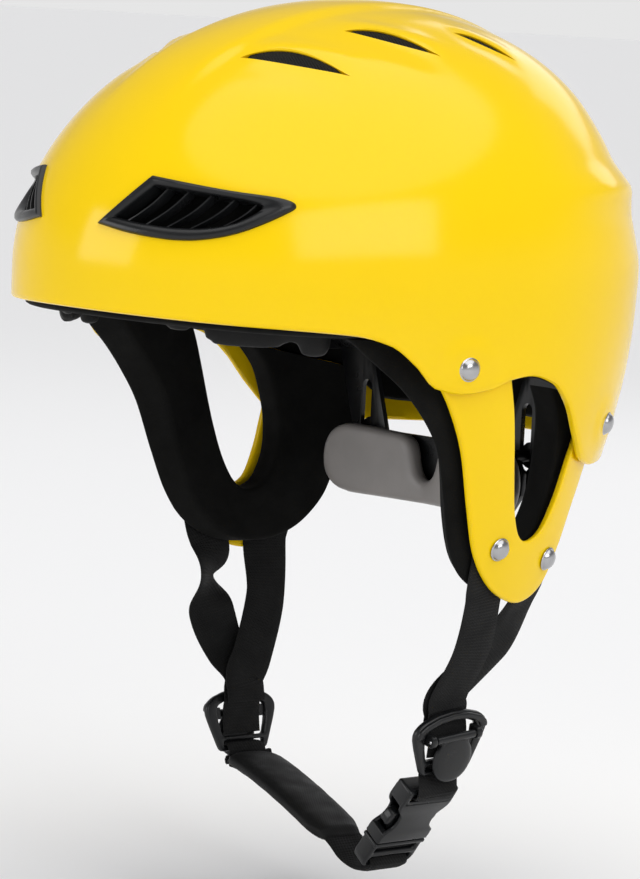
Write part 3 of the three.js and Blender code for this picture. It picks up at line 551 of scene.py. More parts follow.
def cut_openings(obj, deep, vent_grow, undercut):
    shapes = []
    for start, end, bulge in CROWN_SLOTS:
        tool = slot_tool(start, end, bulge, undercut)
        shapes += [handed(tool, hand) for _, hand in BOTH]
    vent = [vent_ring(0, -14, vent_grow), vent_ring(0, deep, vent_grow)]
    shapes += [handed(vent, hand) for _, hand in BOTH]
    tool = joined("openings_cutter", [loft(f"cutter_{i}", rings) for i, rings in enumerate(shapes)])
    modifier = obj.modifiers.new("openings", "BOOLEAN")
    modifier.operation = "DIFFERENCE"
    modifier.object = tool
    modifier.solver = "EXACT"
    bake(obj)
    bpy.data.objects.remove(tool)
    shade(obj, 32)


shell = loft("shell_body", shell_rings(SHELL_EDGE, 0, SHELL_THICKNESS, 264, True), sharp=60)
cut_openings(shell, 10, -0.4, 1.7)
place(shell, "helmet", "shell_yellow", "outer_shell")

liner = loft("liner_foam", shell_rings(LINER_EDGE, LINER_INSET, LINER_INNER, 144, False, 8), sharp=60)
cut_openings(liner, 12, 0.5, 0)
place(liner, "helmet", "black_foam", "foam_liner")


# ---- Front vents ----------------------------------------------------------------------------
# The rim's section, as [share of the way from its outer edge to the opening, inset].
VENT_SECTION = [(0, 6.5), (-0.02, 0.2), (0.03, -1.0), (0.15, -1.7), (0.4, -2), (0.7, -1.6), (0.92, -0.7),
                (1, 0.6), (1.02, 6.5)]
VENT_RIBS, VENT_RIB_START, VENT_RIB_PITCH = 5, 10.2, 3.7


def vent_rib(i):
    middle, low = VENT_RIB_START + i * VENT_RIB_PITCH, 20.2
    high = 35.8 - max(0, i - 2) * 1.5
    rings = []
    for k in range(13):
        t = k / 12
        u = middle + lerp(-3.2, 3.2, t) + 0.8 * math.sin(math.pi * t)
        v = lerp(low, high, t)
        ring = []
        for du, inset in ((-0.7, 6.4), (-0.7, 2.2), (-0.35, 1.4), (0.35, 1.4), (0.7, 2.2), (0.7, 6.4)):
            ring.append(skin(math.radians(u + du / MM_PER_DEGREE), v, inset))
        rings.append(ring)
    return rings


for hand_name, hand in BOTH:
    lines = [vent_ring(share, inset) for share, inset in VENT_SECTION]
    rings = [[line[i] for line in lines] for i in range(len(OUTER_VENT))]
    parts = [loft(f"vent_rim_{hand_name}", handed(rings, hand), loop=True)]
    parts += [loft(f"vent_rib_{i}", handed(vent_rib(i), hand)) for i in range(1, VENT_RIBS + 1)]
    vent = joined(f"vent_insert_{hand_name}", parts)
    place(vent, "helmet", "black_plastic", f"front_vent_{hand_name}")


# ---- Crown mesh -----------------------------------------------------------------------------
MESH_FROM, MESH_TO, MESH_INNER, MESH_OUTER, MESH_LEAN = -92, 44, 16.4, 64.4, 1.2 / 17
for hand_name, hand in BOTH:
    points, faces = [], []
    rows, columns = 170, 76
    for r in range(rows + 1):
        y = lerp(MESH_FROM, MESH_TO, r / rows)
        for c in range(columns + 1):
            x = lerp(MESH_INNER, MESH_OUTER, c / columns) + (y - MESH_FROM) * MESH_LEAN
            p = dome_point(x, y, mesh_inset(x, y))
            points.append((p.x * hand, p.y, p.z))
    for r in range(rows):
        for c in range(columns):
            a = r * (columns + 1) + c
            faces.append((a, a + 1, a + columns + 2, a + columns + 1))
    sheet = mesh_object(f"crown_mesh_sheet_{hand_name}", points, faces)
    place(sheet, "helmet", "black_mesh", f"crown_mesh_{hand_name}")


# ---- Rivets ---------------------------------------------------------------------------------
def rivet_rings(y, height, seat):
    centre = side(y, height, seat)
    normal = (side(y + 1, height, seat) - centre).cross(side(y, height + 1, seat) - centre).normalized()
    if normal.x < 0:
        normal = -normal
    first = normal.cross(Vector((0, 0, 1))).normalized()
    second = normal.cross(first)
    section = [(2, -5), (2, 0.3), (4.7, 0.3), (4.8, 0.55), (4.6, 0.85), (4.3, 0.95), (4.1, 1.35),
               (3.6, 2.1), (2.8, 2.7), (1.8, 3.05), (0.9, 3.2), (0.2, 3.25)]
    return [[centre + normal * up + (first * math.cos(a) + second * math.sin(a)) * r
             for a in turn(40)] for r, up in section]


for rivet_name, spot in RIVETS.items():
    for hand_name, hand in BOTH:
        head = loft(f"{rivet_name}_head_{hand_name}", handed(rivet_rings(*spot), hand))
        place(head, "helmet", "rivet_steel", f"{rivet_name}_rivet_{hand_name}")


# ---- Ear guards and ear foam ----------------------------------------------------------------
GUARD_OUTER = [
    (-47, -21), (-40, -34), (-33, -45), (-25, -61), (-17, -84), (-8, -104), (6, -118.5), (24, -125),
    (38, -119), (45, -104), (50, -88), (58, -71), (67, -59), (73, -50),
]
GUARD_OPENING = [
    (-8, -21), (-5.6, -33), (-1.7, -47), (3.4, -70), (8, -86), (13.5, -96), (20, -99), (28, -95),
    (34, -83), (38, -70), (41, -60), (45, -50), (50, -42),
]
# The foam's edge on the guard's side, which laps past the guard, and on the wearer's side.
FOAM_OUTER = [
    (-74, -19), (-64, -28), (-51, -38.5), (-40.5, -50), (-32, -63), (-24.5, -84), (-18, -101), (-9, -113),
    (6, -120.5), (25, -121.5), (41, -115), (51, -103), (57, -88), (63, -73), (68, -60), (66, -47),
]
FOAM_INNER_EDGE = [
    (-68, -18), (-54, -25), (-42, -36), (-31, -47), (-22, -63), (-16, -86), (-9, -103), (0, -113),
    (10, -118.5), (25, -120), (39, -115), (50, -104), (56, -91), (62, -75), (67, -61), (66, -47),
]
FOAM_OPENING = [
    (-12, -18.5), (-5.6, -33), (-1.7, -47), (3.4, -70), (8, -86), (13.5, -96), (20, -99), (28, -95),
    (33.5, -84), (35, -72), (34, -60), (31, -48), (24, -38),
]


def band_rings(outer, opening, outer_inset, inner_inset, radius, inner_edge=None, crown=0):
    """Sections across a band from its outer edge to its opening, with rounded edges."""
    count = 150
    outer_line = spline([(y, h, 0) for y, h in outer], count)
    edge_line = spline([(y, h, 0) for y, h in inner_edge or outer], count)
    inner_line = spline([(y, h, 0) for y, h in opening], count)
    depth = inner_inset - outer_inset
    arcs = 4
    rings = []
    for p, far, q in zip(outer_line, edge_line, inner_line):
        width = (q - p).length
        section = []
        corners = ((radius, radius, 180), (width - radius, radius, 270),
                   (width - radius, depth - radius, 0), (radius, depth - radius, 90))
        for cx, cy, start in corners:
            for k in range(arcs + 1):
                a = math.radians(start + 90 * k / arcs)
                section.append((cx + radius * math.cos(a), cy + radius * math.sin(a)))
        filled = []
        for i, (x0, y0) in enumerate(section):
            x1, y1 = section[(i + 1) % len(section)]
            filled.append((x0, y0))
            if i % (arcs + 1) == arcs:
                filled += [(lerp(x0, x1, k / 5), lerp(y0, y1, k / 5)) for k in range(1, 5)]
        ring = []
        for across, down in filled:
            t = across / width
            swell = crown * math.sin(math.pi * min(max(t, 0), 1)) * (1 if down > depth / 2 else 0)
            spot = p.lerp(far, down / depth).lerp(q, t)
            ring.append(side(spot.x, spot.y, outer_inset + down + swell))
        rings.append(ring)
    return rings


guard_rings = band_rings(GUARD_OUTER, GUARD_OPENING, GUARD_INSET, GUARD_INNER, 1.1)
foam_rings = band_rings(FOAM_OUTER, FOAM_OPENING, FOAM_INSET, FOAM_INNER, 2.2, FOAM_INNER_EDGE, crown=0.8)
for hand_name, hand in BOTH:
    guard = loft(f"guard_band_{hand_name}", handed(guard_rings, hand))
    place(guard, "helmet", "shell_yellow", f"ear_guard_{hand_name}")
    foam = loft(f"ear_pad_foam_{hand_name}", handed(foam_rings, hand), sharp=70)
    place(foam, "helmet", "black_foam", f"ear_foam_{hand_name}")


# ---- Pads -----------------------------------------------------------------------------------
PAD_VOXEL = 0.0022


def inflate(obj, cap):
    """Cloth under pressure rounds a pad. No point moves further than cap, in metres."""
    remeshed(obj, PAD_VOXEL)
    before = [v.co.copy() for v in obj.data.vertices]
    cloth = obj.modifiers.new("cloth", "CLOTH")
    cloth.settings.use_pressure = True
    cloth.settings.uniform_pressure_force = 4
    cloth.settings.effector_weights.gravity = 0
    for number in range(1, 21):
        bpy.context.scene.frame_set(number)
    bake(obj)
    bpy.context.scene.frame_set(1)
    for vertex, start in zip(obj.data.vertices, before):
        move = vertex.co - start
        if move.length > cap:
            vertex.co = start + move * (cap / move.length)
    obj.modifiers.new("soften", "SMOOTH").iterations = 3
    finer = obj.modifiers.new("finer", "SUBSURF")
    finer.levels = finer.render_levels = 1
    bake(obj)
    shade(obj, 80)
    return obj


# The brow pad's lobes on one side: from and to angle, and the height of the lower edge.
BROW_LOBES = [(13.3, 19.8, -20), (20.6, 37.6, -25), (38.4, 45.6, -28)]
BROW_CENTRE = (-12.5, 12.5, -18)
BROW_TOP, BROW_NEAR, BROW_DEEP = 0, 18.4, 26


def brow_lobe(start, end, low):
    """One pillow of the brow pad, following the inside of the liner."""
    middle_inset, half_deep = (BROW_NEAR + BROW_DEEP) / 2, (BROW_DEEP - BROW_NEAR) / 2
    rings = []
    steps = max(int(abs(end - start) * 1.2), 12)
    for i in range(steps + 1):
        t = 2 * i / steps - 1
        close = max(1 - abs(t) ** 3.2, 0) ** (1 / 2.4) if abs(t) < 1 else 0
        close = max(close, 0.12)
        angle = math.radians(lerp(start, end, i / steps))
        middle, half = (low + BROW_TOP) / 2, (BROW_TOP - low) / 2 * lerp(0.55, 1, close)
        ring = []
        for swing in turn(24):
            up = math.copysign(abs(math.sin(swing)) ** 0.65, math.sin(swing))
            deep = math.copysign(abs(math.cos(swing)) ** 0.65, math.cos(swing))
            ring.append(skin(angle, middle + half * up, middle_inset + half_deep * close * deep))
        rings.append(ring)
    return rings


def front_pad():
    lobes = [BROW_CENTRE]
    for start, end, low in BROW_LOBES:
        lobes += [(start, end, low), (-end, -start, low)]
    parts = [loft(f"brow_lobe_{i}", brow_lobe(*lobe)) for i, lobe in enumerate(lobes)]
    return inflate(joined("brow_pad", parts), 0.0011)


def crown_pad():
    half_wide, half_long = 23, 31
    rings = []
    for scale, z in ((0.5, 0.15), (0.86, 0.2), (0.97, 0.7), (1, 1.7), (0.95, 2.6), (0.75, 4.2), (0.4, 5.4)):
        rings.append([(half_wide * scale * math.cos(a), half_long * scale * math.sin(a), z)
                      for a in turn(48)])
    pad = loft("crown_comfort_pad", rings, sharp=80)
    return inflate(pad, 0.0006)


for pad, node in ((front_pad(), "front_pad"), (crown_pad(), "crown_pad")):
    place(pad, "helmet", "black_fabric", node)


# ---- Rear cradle ----------------------------------------------------------------------------
CRADLE_Y, CRADLE_WRAP = 56.6, 0.0016


def softened(points, count, reach):
    """A closed polygon spread evenly into count points, its corners rounded over reach points."""
    corners = [Vector(p) for p in points]
    closed = corners + corners[:1]
    total = sum((b - a).length for a, b in zip(closed, closed[1:]))
    line, done, k = [], 0, 0
    for i in range(count):
        goal = total * i / count
        while done + (closed[k + 1] - closed[k]).length < goal:
            done += (closed[k + 1] - closed[k]).length
            k += 1
        line.append(closed[k].lerp(closed[k + 1], (goal - done) / (closed[k + 1] - closed[k]).length))
    spread = range(-reach, reach + 1)
    return [sum((line[(i + d) % count] for d in spread), Vector((0, 0))) / len(spread)
            for i in range(count)]


def moulding(basis, outline, low, high, edge, holes=(), count=140, reach=2):
    """A flat piece from its outline [u, v], from one level of w to another, with rounded edges."""
    curve = bpy.data.curves.new("moulding", "CURVE")
    curve.dimensions, curve.fill_mode = "2D", "BOTH"
    curve.extrude = ((high - low) / 2 - edge) * MM
    curve.bevel_depth, curve.bevel_resolution, curve.offset = edge * MM, 2, -edge * MM
    for points in (outline, *holes):
        line = curve.splines.new("POLY")
        rounded = softened(points, count, reach)
        line.points.add(count - 1)
        for spot, (u, v) in zip(line.points, rounded):
            spot.co = (u * MM, v * MM, 0, 1)
        line.use_cyclic_u = True
    source = linked("moulding_curve", curve)
    bpy.context.view_layer.update()
    mesh = bpy.data.meshes.new_from_object(source.evaluated_get(bpy.context.evaluated_depsgraph_get()))
    bpy.data.objects.remove(source)
    middle = basis @ Matrix.Translation((0, 0, (low + high) / 2))
    mesh.transform(Matrix.Translation(middle.translation * MM) @ middle.to_3x3().to_4x4())
    work = bmesh.new()
    work.from_mesh(mesh)
    bmesh.ops.remove_doubles(work, verts=work.verts, dist=1e-6)
    work.to_mesh(mesh)
    work.free()
    obj = linked("moulding", mesh)
    shade(obj, 40)
    return obj


# Half of the cradle's padding, as [x, height]: a lobe, and the low bridge to the other lobe.
LOBE_OUTLINE = [
    (0, -97.3), (44, -97.6), (51.5, -96), (57, -90.5), (58.3, -83), (57.3, -76), (53, -70), (46, -67.6),
    (13, -69), (8.4, -71.6), (7, -77), (5.4, -84), (2.6, -87.2), (0, -88),
]
CRADLE_BASIS = Matrix(((1, 0, 0, 0), (0, 0, -1, 0), (0, 1, 0, EQUATOR), (0, 0, 0, 1)))


def cradle_padding():
    """Soft rubber lobes moulded in one piece, bent round the cradle's front face."""
    outline = LOBE_OUTLINE + [(-x, h) for x, h in LOBE_OUTLINE[-2:0:-1]]
    pad = moulding(CRADLE_BASIS, outline, 0.9, 8.2, 3, (), 260, 3)
    remeshed(pad, 0.0012)
    soften = pad.modifiers.new("soften", "SMOOTH")
    soften.factor, soften.iterations = 0.5, 14
    bake(pad)
    for vertex in pad.data.vertices:
        x, y, z = vertex.co / MM
        stand = -y
        crown = 0.9 * smooth(3, 7, stand) * math.cos(min((abs(x) - 33) / 33, 1) ** 2 * math.pi / 2)
        vertex.co = Vector((x, CRADLE_Y - CRADLE_WRAP * x * x - stand - crown, z)) * MM
    shade(pad, 80)
    pad.name = "cradle_padding"
    return pad


place(cradle_padding(), "cradle", "grey_rubber", "cradle_pad_left", "cradle_pad_right")


def refined(node, body, slot, width=0.35, segments=2):
    """A CAD fitting with its edges rounded."""
    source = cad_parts[node]
    obj = linked(f"{node}_moulding", source.data.copy())
    work = bmesh.new()
    work.from_mesh(obj.data)
    bmesh.ops.remove_doubles(work, verts=work.verts, dist=2e-6)
    bmesh.ops.dissolve_limit(work, angle_limit=math.radians(1.5), verts=work.verts, edges=work.edges)
    work.to_mesh(obj.data)
    work.free()
    for name in [a.name for a in obj.data.attributes if a.name.startswith("custom_normal")]:
        obj.data.attributes.remove(obj.data.attributes[name])
    bevel = obj.modifiers.new("bevel", "BEVEL")
    bevel.width = width * MM
    bevel.segments = segments
    bevel.limit_method = "ANGLE"
    bevel.angle_limit = math.radians(38)
    bevel.use_clamp_overlap = True
    bake(obj)
    shade(obj, 35)
    return place(obj, body, slot, node)


class Fitting:
    """Places points on a fitting: u across its webbing, v along it and w square to both."""

    def __init__(self, origin, along):
        self.origin = Vector(origin)
        self.v = Vector(along).normalized()
        self.u = (Vector((0, 1, 0)) - self.v * self.v.y).normalized()
        self.w = self.u.cross(self.v)

    def at(self, v, w, u=0):
        return tuple(self.origin + self.v * v + self.w * w + self.u * u)

    def basis(self):
        axes = Matrix((self.u, self.v, self.w)).transposed().to_4x4()
        return Matrix.Translation(self.origin) @ axes


def both_ends(points):
    return [[(end * u, v) for u, v in points] for end in (-1, 1)]


def slot_outline(half, low, high):
    return [(-half, low), (half, low), (half, high), (-half, high)]


def crossbar(fitting, radius, half, v, w, sides=20):
    """A round bar across a fitting, with domed ends."""
    rings = []
    for u, scale in ((-half, 0.3), (-half + 0.1, 0.8), (-half + 0.4, 1), (half - 0.4, 1), (half - 0.1, 0.8),
                     (half, 0.3)):
        rings.append([fitting.at(v + radius * scale * math.cos(a), w + radius * scale * math.sin(a), u)
                      for a in turn(sides)])
    return loft("crossbar", rings)


DIVIDER_LEFT = Fitting((71, 5, EQUATOR - 169.4), (-0.24, 0.1, -1))
DIVIDER_RIGHT = Fitting((-71, 15, EQUATOR - 184), (0.2, 0, -1))
BUCKLE = Fitting((60.5, 5, EQUATOR - 200), (-0.6, 0, -0.8))
FRAME_OUTLINE = [
    (-19.2, 8.6), (-18.6, 5.6), (-15, 2.6), (-8, 0.4), (0, -0.3), (8, 0.4), (15, 2.6), (18.6, 5.6),
    (19.2, 8.6), (17.8, 13), (15, 20), (12.6, 25.8), (-12.6, 25.8), (-15, 20), (-17.8, 13),
]
FRAME_WINDOW = [
    (-13.6, 8.6), (-12.6, 6.2), (-7, 4.1), (0, 3.4), (7, 4.1), (12.6, 6.2), (13.6, 8.6), (12.8, 14),
    (11.2, 19.6), (-11.2, 19.6), (-12.8, 14),
]
ARCH_RIDGE = [
    (-18.6, 8.4), (-18, 5.8), (-14.6, 3.2), (-8, 1), (0, 0.3), (8, 1), (14.6, 3.2), (18, 5.8), (18.6, 8.4),
    (15.6, 9), (13.4, 5.6), (7, 3.4), (0, 2.8), (-7, 3.4), (-13.4, 5.6), (-15.6, 9),
]
PIVOT, RISE = 9.6, 4
NECK = [(-7, PIVOT), (7, PIVOT), (7.5, 16), (-7.5, 16)]
DISC_MIDDLE = 19
# The lever's disc, as [radius, level of w].
DISC_PROFILE = [(0.3, 2.7), (9.1, 2.7), (9.8, 3.1), (10, 3.8), (9.8, 4.5), (9.2, 5.1), (8, 5.45), (5, 5.75),
                (0.3, 5.9)]


def lever_ear(fitting, out, end):
    """A rounded tab on the frame's side bar that holds the lever's pin."""
    rings = []
    for u, scale in ((10.7, 0.85), (11.1, 1), (12.9, 1), (13.3, 0.85)):
        ring = []
        for k in range(17):
            a = math.pi * k / 16
            level = out * (RISE - 0.2 + 2.2 * scale * math.sin(a))
            ring.append(fitting.at(PIVOT + 2.5 * scale * math.cos(a), level, end * u))
        ring += [fitting.at(PIVOT - 2.5 * scale, 0, end * u), fitting.at(PIVOT + 2.5 * scale, 0, end * u)]
        rings.append(ring)
    return loft("lever_ear", rings)


def disc(fitting, out):
    rings = []
    for radius, level in DISC_PROFILE:
        rings.append([fitting.at(DISC_MIDDLE + radius * math.cos(a), out * level, radius * math.sin(a))
                      for a in turn(64)])
    return loft("lever_disc", rings, sharp=50)


def levels(out, near, far):
    return (near, far) if out > 0 else (-far, -near)


for hand_name, fitting, out in (("left", DIVIDER_LEFT, -1), ("right", DIVIDER_RIGHT, 1)):
    frame_plate = moulding(fitting.basis(), FRAME_OUTLINE, -1.5, 1.5, 1.0,
                           [FRAME_WINDOW, slot_outline(10.8, 21.6, 24.2)], 180, 3)
    ridge = moulding(fitting.basis(), ARCH_RIDGE, *levels(out, 0.6, 2.7), 0.8, (), 180, 2)
    ears = [lever_ear(fitting, out, end) for end in (-1, 1)]
    place(joined(f"divider_frame_{hand_name}", [frame_plate, ridge, *ears]), "harness", "black_plastic",
          f"strap_divider_{hand_name}")
    neck = moulding(fitting.basis(), NECK, *levels(out, 2.9, 5.1), 0.7)
    lever = joined(f"lever_button_{hand_name}", [
        disc(fitting, out), neck, crossbar(fitting, 1.6, 10.2, PIVOT, out * RISE)])
    place(lever, f"lever_{hand_name}", "black_plastic", f"cam_lever_{hand_name}")
    pin = crossbar(fitting, 0.8, 13.7, PIVOT, out * RISE)
    pin.name = f"cam_pin_{hand_name}"
    place(pin, "harness", "rivet_steel", f"lever_pin_{hand_name}")
    refined(f"hanger_arm_{hand_name}", "hanger", "black_plastic", 0.45)
    refined(f"hanger_pin_{hand_name}", "helmet", "black_plastic")
    refined(f"height_stud_{hand_name}", "cradle", "black_plastic", 0.5)
refined("rear_cradle", "cradle", "black_plastic", 0.5)

# The buckle's socket: a thick webbing bar, two waisted faces and a collar round the mouth.
HALF_FACE = [(13.3, 1.5), (13.6, 9), (12.6, 11.4), (9.9, 14.4), (9.4, 18), (10, 21.4), (12.8, 24.2),
             (13.6, 26.4), (13.2, 30)]
FACE = [(-u, v) for u, v in HALF_FACE] + HALF_FACE[::-1]
WEBBING_HOLE = slot_outline(10.8, 2.6, 5.6)
socket = [moulding(BUCKLE.basis(), FACE, low, high, 0.75, [WEBBING_HOLE], 180, 2) for low, high in
          ((-4.6, -2.9), (2.9, 4.6))]
socket.append(moulding(BUCKLE.basis(), slot_outline(13.5, 0, 9), -4.6, 4.6, 1.2, [WEBBING_HOLE]))
socket += [moulding(BUCKLE.basis(), points, -4.5, 4.5, 0.9) for points in
           both_ends([(10.9, 24), (13.5, 24.6), (13.6, 30), (10.9, 30)])]
place(joined("buckle_socket", socket), "harness", "black_plastic", "buckle_female")

LADDER = [slot_outline(10.8, 33.6, 36.4), slot_outline(10.8, 39.2, 42)]
PLUG = [(-13.4, 30.9), (13.4, 30.9), (13.6, 41), (12.4, 44), (-12.4, 44), (-13.6, 41)]
TONGUE = [(-3, 12), (-1.8, 10), (1.8, 10), (3, 12), (3, 32), (-3, 32)]
plug = [moulding(BUCKLE.basis(), PLUG, -4, 4, 1.2, LADDER, 160, 2)]
plug.append(moulding(BUCKLE.basis(), slot_outline(13.7, 30.6, 32.6), -4.5, 4.5, 0.7))
plug.append(moulding(BUCKLE.basis(), TONGUE, -2.2, 2.2, 0.6))
place(joined("buckle_plug", plug), "buckle_insert", "black_plastic", "buckle_male")

PRONG = [(6, 32.2), (8.8, 32.2), (8.9, 25), (9.6, 23.4), (13.2, 20.5), (13.5, 18), (12.2, 15), (9.4, 13.8),
         (7.2, 14.4), (6.4, 20)]
for end, outline in zip(("front", "rear"), both_ends(PRONG)):
    prong = moulding(BUCKLE.basis(), outline, -2.4, 2.4, 0.9, (), 120, 2)
    prong.name = f"spring_prong_{end}"
    place(prong, f"prong_{end}", "black_plastic", f"buckle_prong_{end}")


# ---- Webbing --------------------------------------------------------------------------------
RIB_PITCH = 1.35
ROWS_PER_RIB = 4


def webbing(name, stations):
    """Ribbed flat webbing along [point, direction across] stations."""
    guess = sum((Vector(b[0]) - Vector(a[0])).length for a, b in zip(stations, stations[1:]))
    count = max(int(guess / RIB_PITCH * ROWS_PER_RIB), 12)
    line = spline([p for p, _ in stations], count)
    marks = [0]
    for a, b in zip(stations, stations[1:]):
        marks.append(marks[-1] + (Vector(b[0]) - Vector(a[0])).length)
    rings = []
    for i, centre in enumerate(line):
        along = (line[min(i + 1, count - 1)] - line[max(i - 1, 0)]).normalized()
        goal = marks[-1] * i / (count - 1)
        k = 0
        while k < len(marks) - 2 and goal > marks[k + 1]:
            k += 1
        t = smooth(marks[k], marks[k + 1], goal)
        across = Vector(stations[k][1]).normalized().lerp(Vector(stations[k + 1][1]).normalized(), t)
        across = (across - along * across.dot(along)).normalized()
        normal = along.cross(across)
        rib = 0.11 * math.cos(2 * math.pi * i / ROWS_PER_RIB)
        ring = []
        for face in (1, -1):
            for k in range(9):
                u = (k / 8 - 0.5) * face
                edge = 1 - smooth(0.44, 0.5, abs(u)) * 0.65
                selvedge = 0.06 if abs(u) > 0.4 else 0
                half = (WEBBING_THICKNESS / 2 + rib * (abs(u) < 0.42) - selvedge) * edge
                ring.append(centre + across * u * WEBBING_WIDTH + normal * face * half)
        rings.append(ring)
    return loft(name, rings, sharp=75)


ACROSS = (0, 1, 0)
FRONT_TOP = [(3.4, -94), (3.4, -104), (4.5, -116), (6, -124)]
REAR_TOP = [(37.5, -102), (37, -108), (35.5, -114), (33, -122)]


def pocket(top, hand):
    stations = []
    for y, height in top:
        here, there = side(y, height, STRAP_INSET), side(y + 1, height, STRAP_INSET)
        stations.append(((hand * here.x, here.y, here.z), (hand * (there.x - here.x), 1, 0.05)))
    return stations


def threaded(divider, hand, depth):
    """Behind the divider's top bar, and out through its slot to lie under the cam lever."""
    back = hand * depth
    steps = ((-6, back), (0, hand * 2.7), (3.6, hand * 2.5), (6.6, hand * 1.4), (10, hand * 0.6),
             (14, hand * 0.3), (18.6, hand * 0.2))
    return [(divider.at(v, w), ACROSS) for v, w in steps]


def ending(divider, hand, depth):
    """The rear strap stops behind the front one, under the top bar."""
    return [(divider.at(v, hand * depth), ACROSS) for v in (-6, 0, 5.5)]


LEFT_FRONT = pocket(FRONT_TOP, 1) + [((78, 7, EQUATOR - 144), ACROSS)] + threaded(DIVIDER_LEFT, 1, 2.9)
LEFT_REAR = pocket(REAR_TOP, 1) + [((74, 23, EQUATOR - 143), (0.1, 1, 0.4))] + ending(DIVIDER_LEFT, 1, 5)
RIGHT_FRONT = pocket(FRONT_TOP, -1) + [
    ((-81, 3, EQUATOR - 136), (-0.6, 0.8, 0.1)), ((-79, 5, EQUATOR - 152), (0.35, 0.9, 0.2)),
    ((-75.5, 11, EQUATOR - 168), (0.1, 1, 0)),
] + threaded(DIVIDER_RIGHT, -1, 2.9)
RIGHT_REAR = pocket(REAR_TOP, -1) + [
    ((-75, 31, EQUATOR - 145), (0, 1, 0.2)), ((-69.5, 21, EQUATOR - 168), (0, 1, 0.1)),
] + ending(DIVIDER_RIGHT, -1, 5)

for name, stations, divider, node in (
        ("front_webbing_left", LEFT_FRONT, DIVIDER_LEFT, "front_strap_left"),
        ("rear_webbing_left", LEFT_REAR, DIVIDER_LEFT, "rear_strap_left"),
        ("front_webbing_right", RIGHT_FRONT, DIVIDER_RIGHT, "front_strap_right"),
        ("rear_webbing_right", RIGHT_REAR, DIVIDER_RIGHT, "rear_strap_right")):
    strap = webbing(name, stations)
    place(strap, None, "black_webbing", node)
    top, bottom = stations[3][0], divider.at(-6, 0)
    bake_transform(strap, "helmet", "harness", start=[c * MM for c in top], end=[c * MM for c in bottom])

short = [(DIVIDER_LEFT.at(v, w), ACROSS) for v, w in ((22.6, -1), (22.9, 0), (23.3, 1.9), (25.6, 3))]
short += [(BUCKLE.at(v, w), ACROSS) for v, w in ((-1.4, -4.6), (1.4, -5.7), (3.5, -5.0), (4, -2), (4, 1))]
place(webbing("chin_webbing_left", short), "harness", "black_webbing", "chin_strap_left")

CHIN_ROUTE = [
    (28.5, 5, -240), (20, 5, -237.5), (11, 5, -231.6), (-12, 6, -222), (-36, 9, -215), (-57, 13, -211.5),
    (-62.6, 14.6, -212.8),
]
SLEEVE_FROM, SLEEVE_TO, SLEEVE_END = 2, 6, (-59, 13.8, -212)
ladder = ((35, -2.5), (35.1, 2), (36.2, 5.0), (39, 5.2), (40.4, 2.5), (40.6, -1.5), (42.4, -5.0),
          (46.5, -3.6))
long_strap = [(BUCKLE.at(v, w), ACROSS) for v, w in ladder]
long_strap += [((x, y, EQUATOR + h), ACROSS) for x, y, h in CHIN_ROUTE]
foot = ((26, -2.9), (23.4, -1.9), (22.9, 0), (22.6, 1))
long_strap += [(DIVIDER_RIGHT.at(v, w), ACROSS) for v, w in foot]
chin = webbing("chin_webbing_right", long_strap)
place(chin, None, "black_webbing", "chin_strap_right")
chin_start = [c * MM for c in BUCKLE.at(46, 0)]
sleeve_x, sleeve_y, sleeve_height = CHIN_ROUTE[SLEEVE_FROM]
chin_end = [c * MM for c in (sleeve_x, sleeve_y, EQUATOR + sleeve_height)]
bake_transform(chin, "buckle_insert", "harness", start=chin_start, end=chin_end)


def chin_sleeve():
    """A padded fabric tube round the long chin strap, with sewn edges and soft creases."""
    route = [(x, y, EQUATOR + h) for x, y, h in (*CHIN_ROUTE[SLEEVE_FROM:SLEEVE_TO], SLEEVE_END)]
    line = spline(route, 90)
    last = len(line) - 1
    rings = []
    for i, centre in enumerate(line):
        t = i / last
        along = (line[min(i + 1, last)] - line[max(i - 1, 0)]).normalized()
        across = (Vector(ACROSS) - along * along.y).normalized()
        normal = along.cross(across)
        close = min(smooth(0, 0.05, t), smooth(1, 0.95, t))
        half = lerp(1.3, 3.5, close)
        wide = lerp(9.8, 12.8, min(smooth(0, 0.14, t), smooth(1, 0.92, t)))
        ring = []
        for a in turn(40):
            u = math.copysign(abs(math.cos(a)) ** 0.75, math.cos(a))
            w = math.copysign(abs(math.sin(a)) ** 0.8, math.sin(a))
            seam = 0.55 * bump(abs(u) - 0.82, 0.035)
            crease = 0.35 * noise.noise(Vector((t * 14, u * 1.5, w)))
            ring.append(centre + across * u * wide + normal * w * (half - seam + crease))
        rings.append(ring)
    return loft("chin_sleeve_padding", rings, sharp=80)


sleeve = chin_sleeve()
place(sleeve, None, "black_fabric", "chin_sleeve")
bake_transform(sleeve, "buckle_insert", "harness", start=chin_start, end=chin_end)


# ---- Stage, light and camera ----------------------------------------------------------------
def stage_material():
    material = bpy.data.materials.new("pale_floor")
    material.use_nodes = True
    shader = material.node_tree.nodes["Principled BSDF"]
    shader.inputs["Base Color"].default_value = (0.86, 0.86, 0.86, 1)
    shader.inputs["Roughness"].default_value = 0.95
    shader.inputs["Specular IOR Level"].default_value = 0.05
    return material


FLOOR_SIZE, FLOOR_DROP = 900, 0.022
bpy.ops.mesh.primitive_plane_add(size=FLOOR_SIZE, location=(0, 0, cad_box[0][2] - FLOOR_DROP))
floor = bpy.context.object
floor.name = "floor"
floor.data.materials.append(stage_material())

bpy.context.scene.view_settings.view_transform = "Standard"
world = bpy.data.worlds.new("studio")
bpy.context.scene.world = world
world.use_nodes = True
sky = world.node_tree.nodes
height = sky.new("ShaderNodeSeparateXYZ")
sky_ramp = sky.new("ShaderNodeValToRGB")
world.node_tree.links.new(sky.new("ShaderNodeTexCoord").outputs["Generated"], height.inputs[0])
world.node_tree.links.new(height.outputs["Z"], sky_ramp.inputs["Fac"])
world.node_tree.links.new(sky_ramp.outputs["Color"], sky["Background"].inputs["Color"])
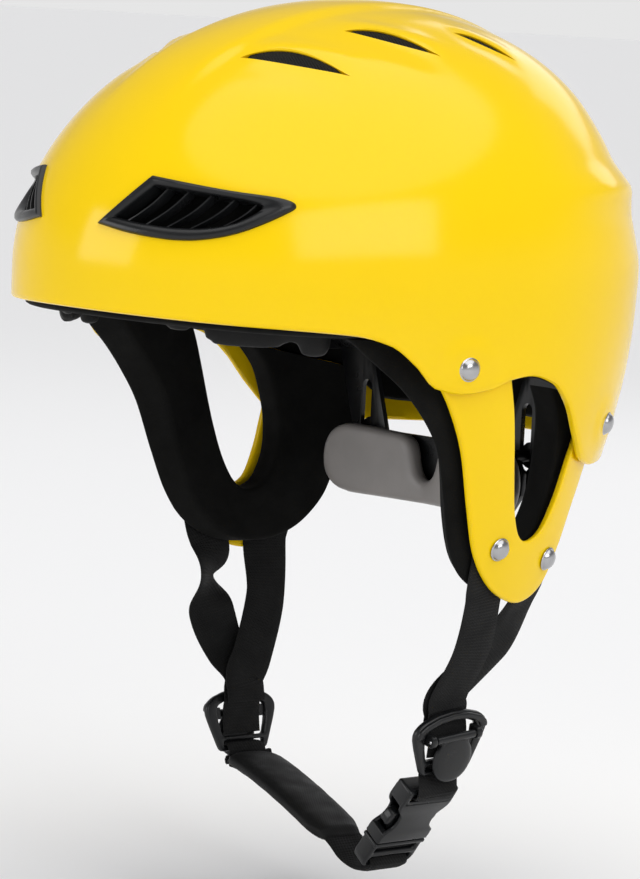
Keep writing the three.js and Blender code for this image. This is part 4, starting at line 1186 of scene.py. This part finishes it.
# Pale at the horizon, dimmer overhead.
sky_ramp.color_ramp.elements[0].position, sky_ramp.color_ramp.elements[1].position = 0.05, 0.26
sky_ramp.color_ramp.elements[0].color = (0.79, 0.79, 0.79, 1)
sky_ramp.color_ramp.elements[1].color = (0.3, 0.3, 0.31, 1)
sky["Background"].inputs["Strength"].default_value = 1


def lamp_object(name, kind, location, aim, **settings):
    lamp = bpy.data.lights.new(name, kind)
    for key, value in settings.items():
        setattr(lamp, key, value)
    obj = linked(name, lamp)
    obj.location = location
    obj.rotation_euler = (Vector(aim) - Vector(location)).to_track_quat("-Z", "Y").to_euler()


HELMET_MIDDLE = (0, 0, -0.1)
lamp_object("overhead", "SUN", (0.85, 0.05, 3), (0, 0, 0), energy=1.9, angle=math.radians(75))
for name, spot, size, size_y, energy in (
        ("key", (1.9, -0.25, 0.7), 1.5, 0.8, 13), ("front_fill", (-0.7, -2.1, 0.5), 1.3, 0.9, 14),
        ("rear_rim", (-0.8, 1.9, 0.9), 1.2, 0.8, 4)):
    lamp_object(name, "AREA", spot, HELMET_MIDDLE, shape="RECTANGLE", size=size, size_y=size_y,
                energy=energy)

AZIMUTH, ELEVATION, ROLL = (math.radians(a) for a in (48.136, 5.96, 3.122))
DISTANCE, AIM_ACROSS, AIM_HEIGHT = 1.6305, -0.007216, -0.153054
SENSOR_WIDTH, LENS = 36, 225.5
back = Vector((math.sin(AZIMUTH) * math.cos(ELEVATION), -math.cos(AZIMUTH) * math.cos(ELEVATION),
               math.sin(ELEVATION)))
right = Vector((math.cos(AZIMUTH), math.sin(AZIMUTH), 0))
up = back.cross(right)
target = right * AIM_ACROSS + Vector((0, 0, AIM_HEIGHT))
image_right = right * math.cos(ROLL) + up * math.sin(ROLL)
image_up = up * math.cos(ROLL) - right * math.sin(ROLL)
lens_data = bpy.data.cameras.new("camera")
lens_data.sensor_fit = "HORIZONTAL"
lens_data.sensor_width = SENSOR_WIDTH
lens_data.lens = LENS
camera = linked("camera", lens_data)
camera.matrix_world = Matrix.Translation(target + back * DISTANCE) @ Matrix(
    (image_right, image_up, back)).transposed().to_4x4()
bpy.context.scene.camera = camera
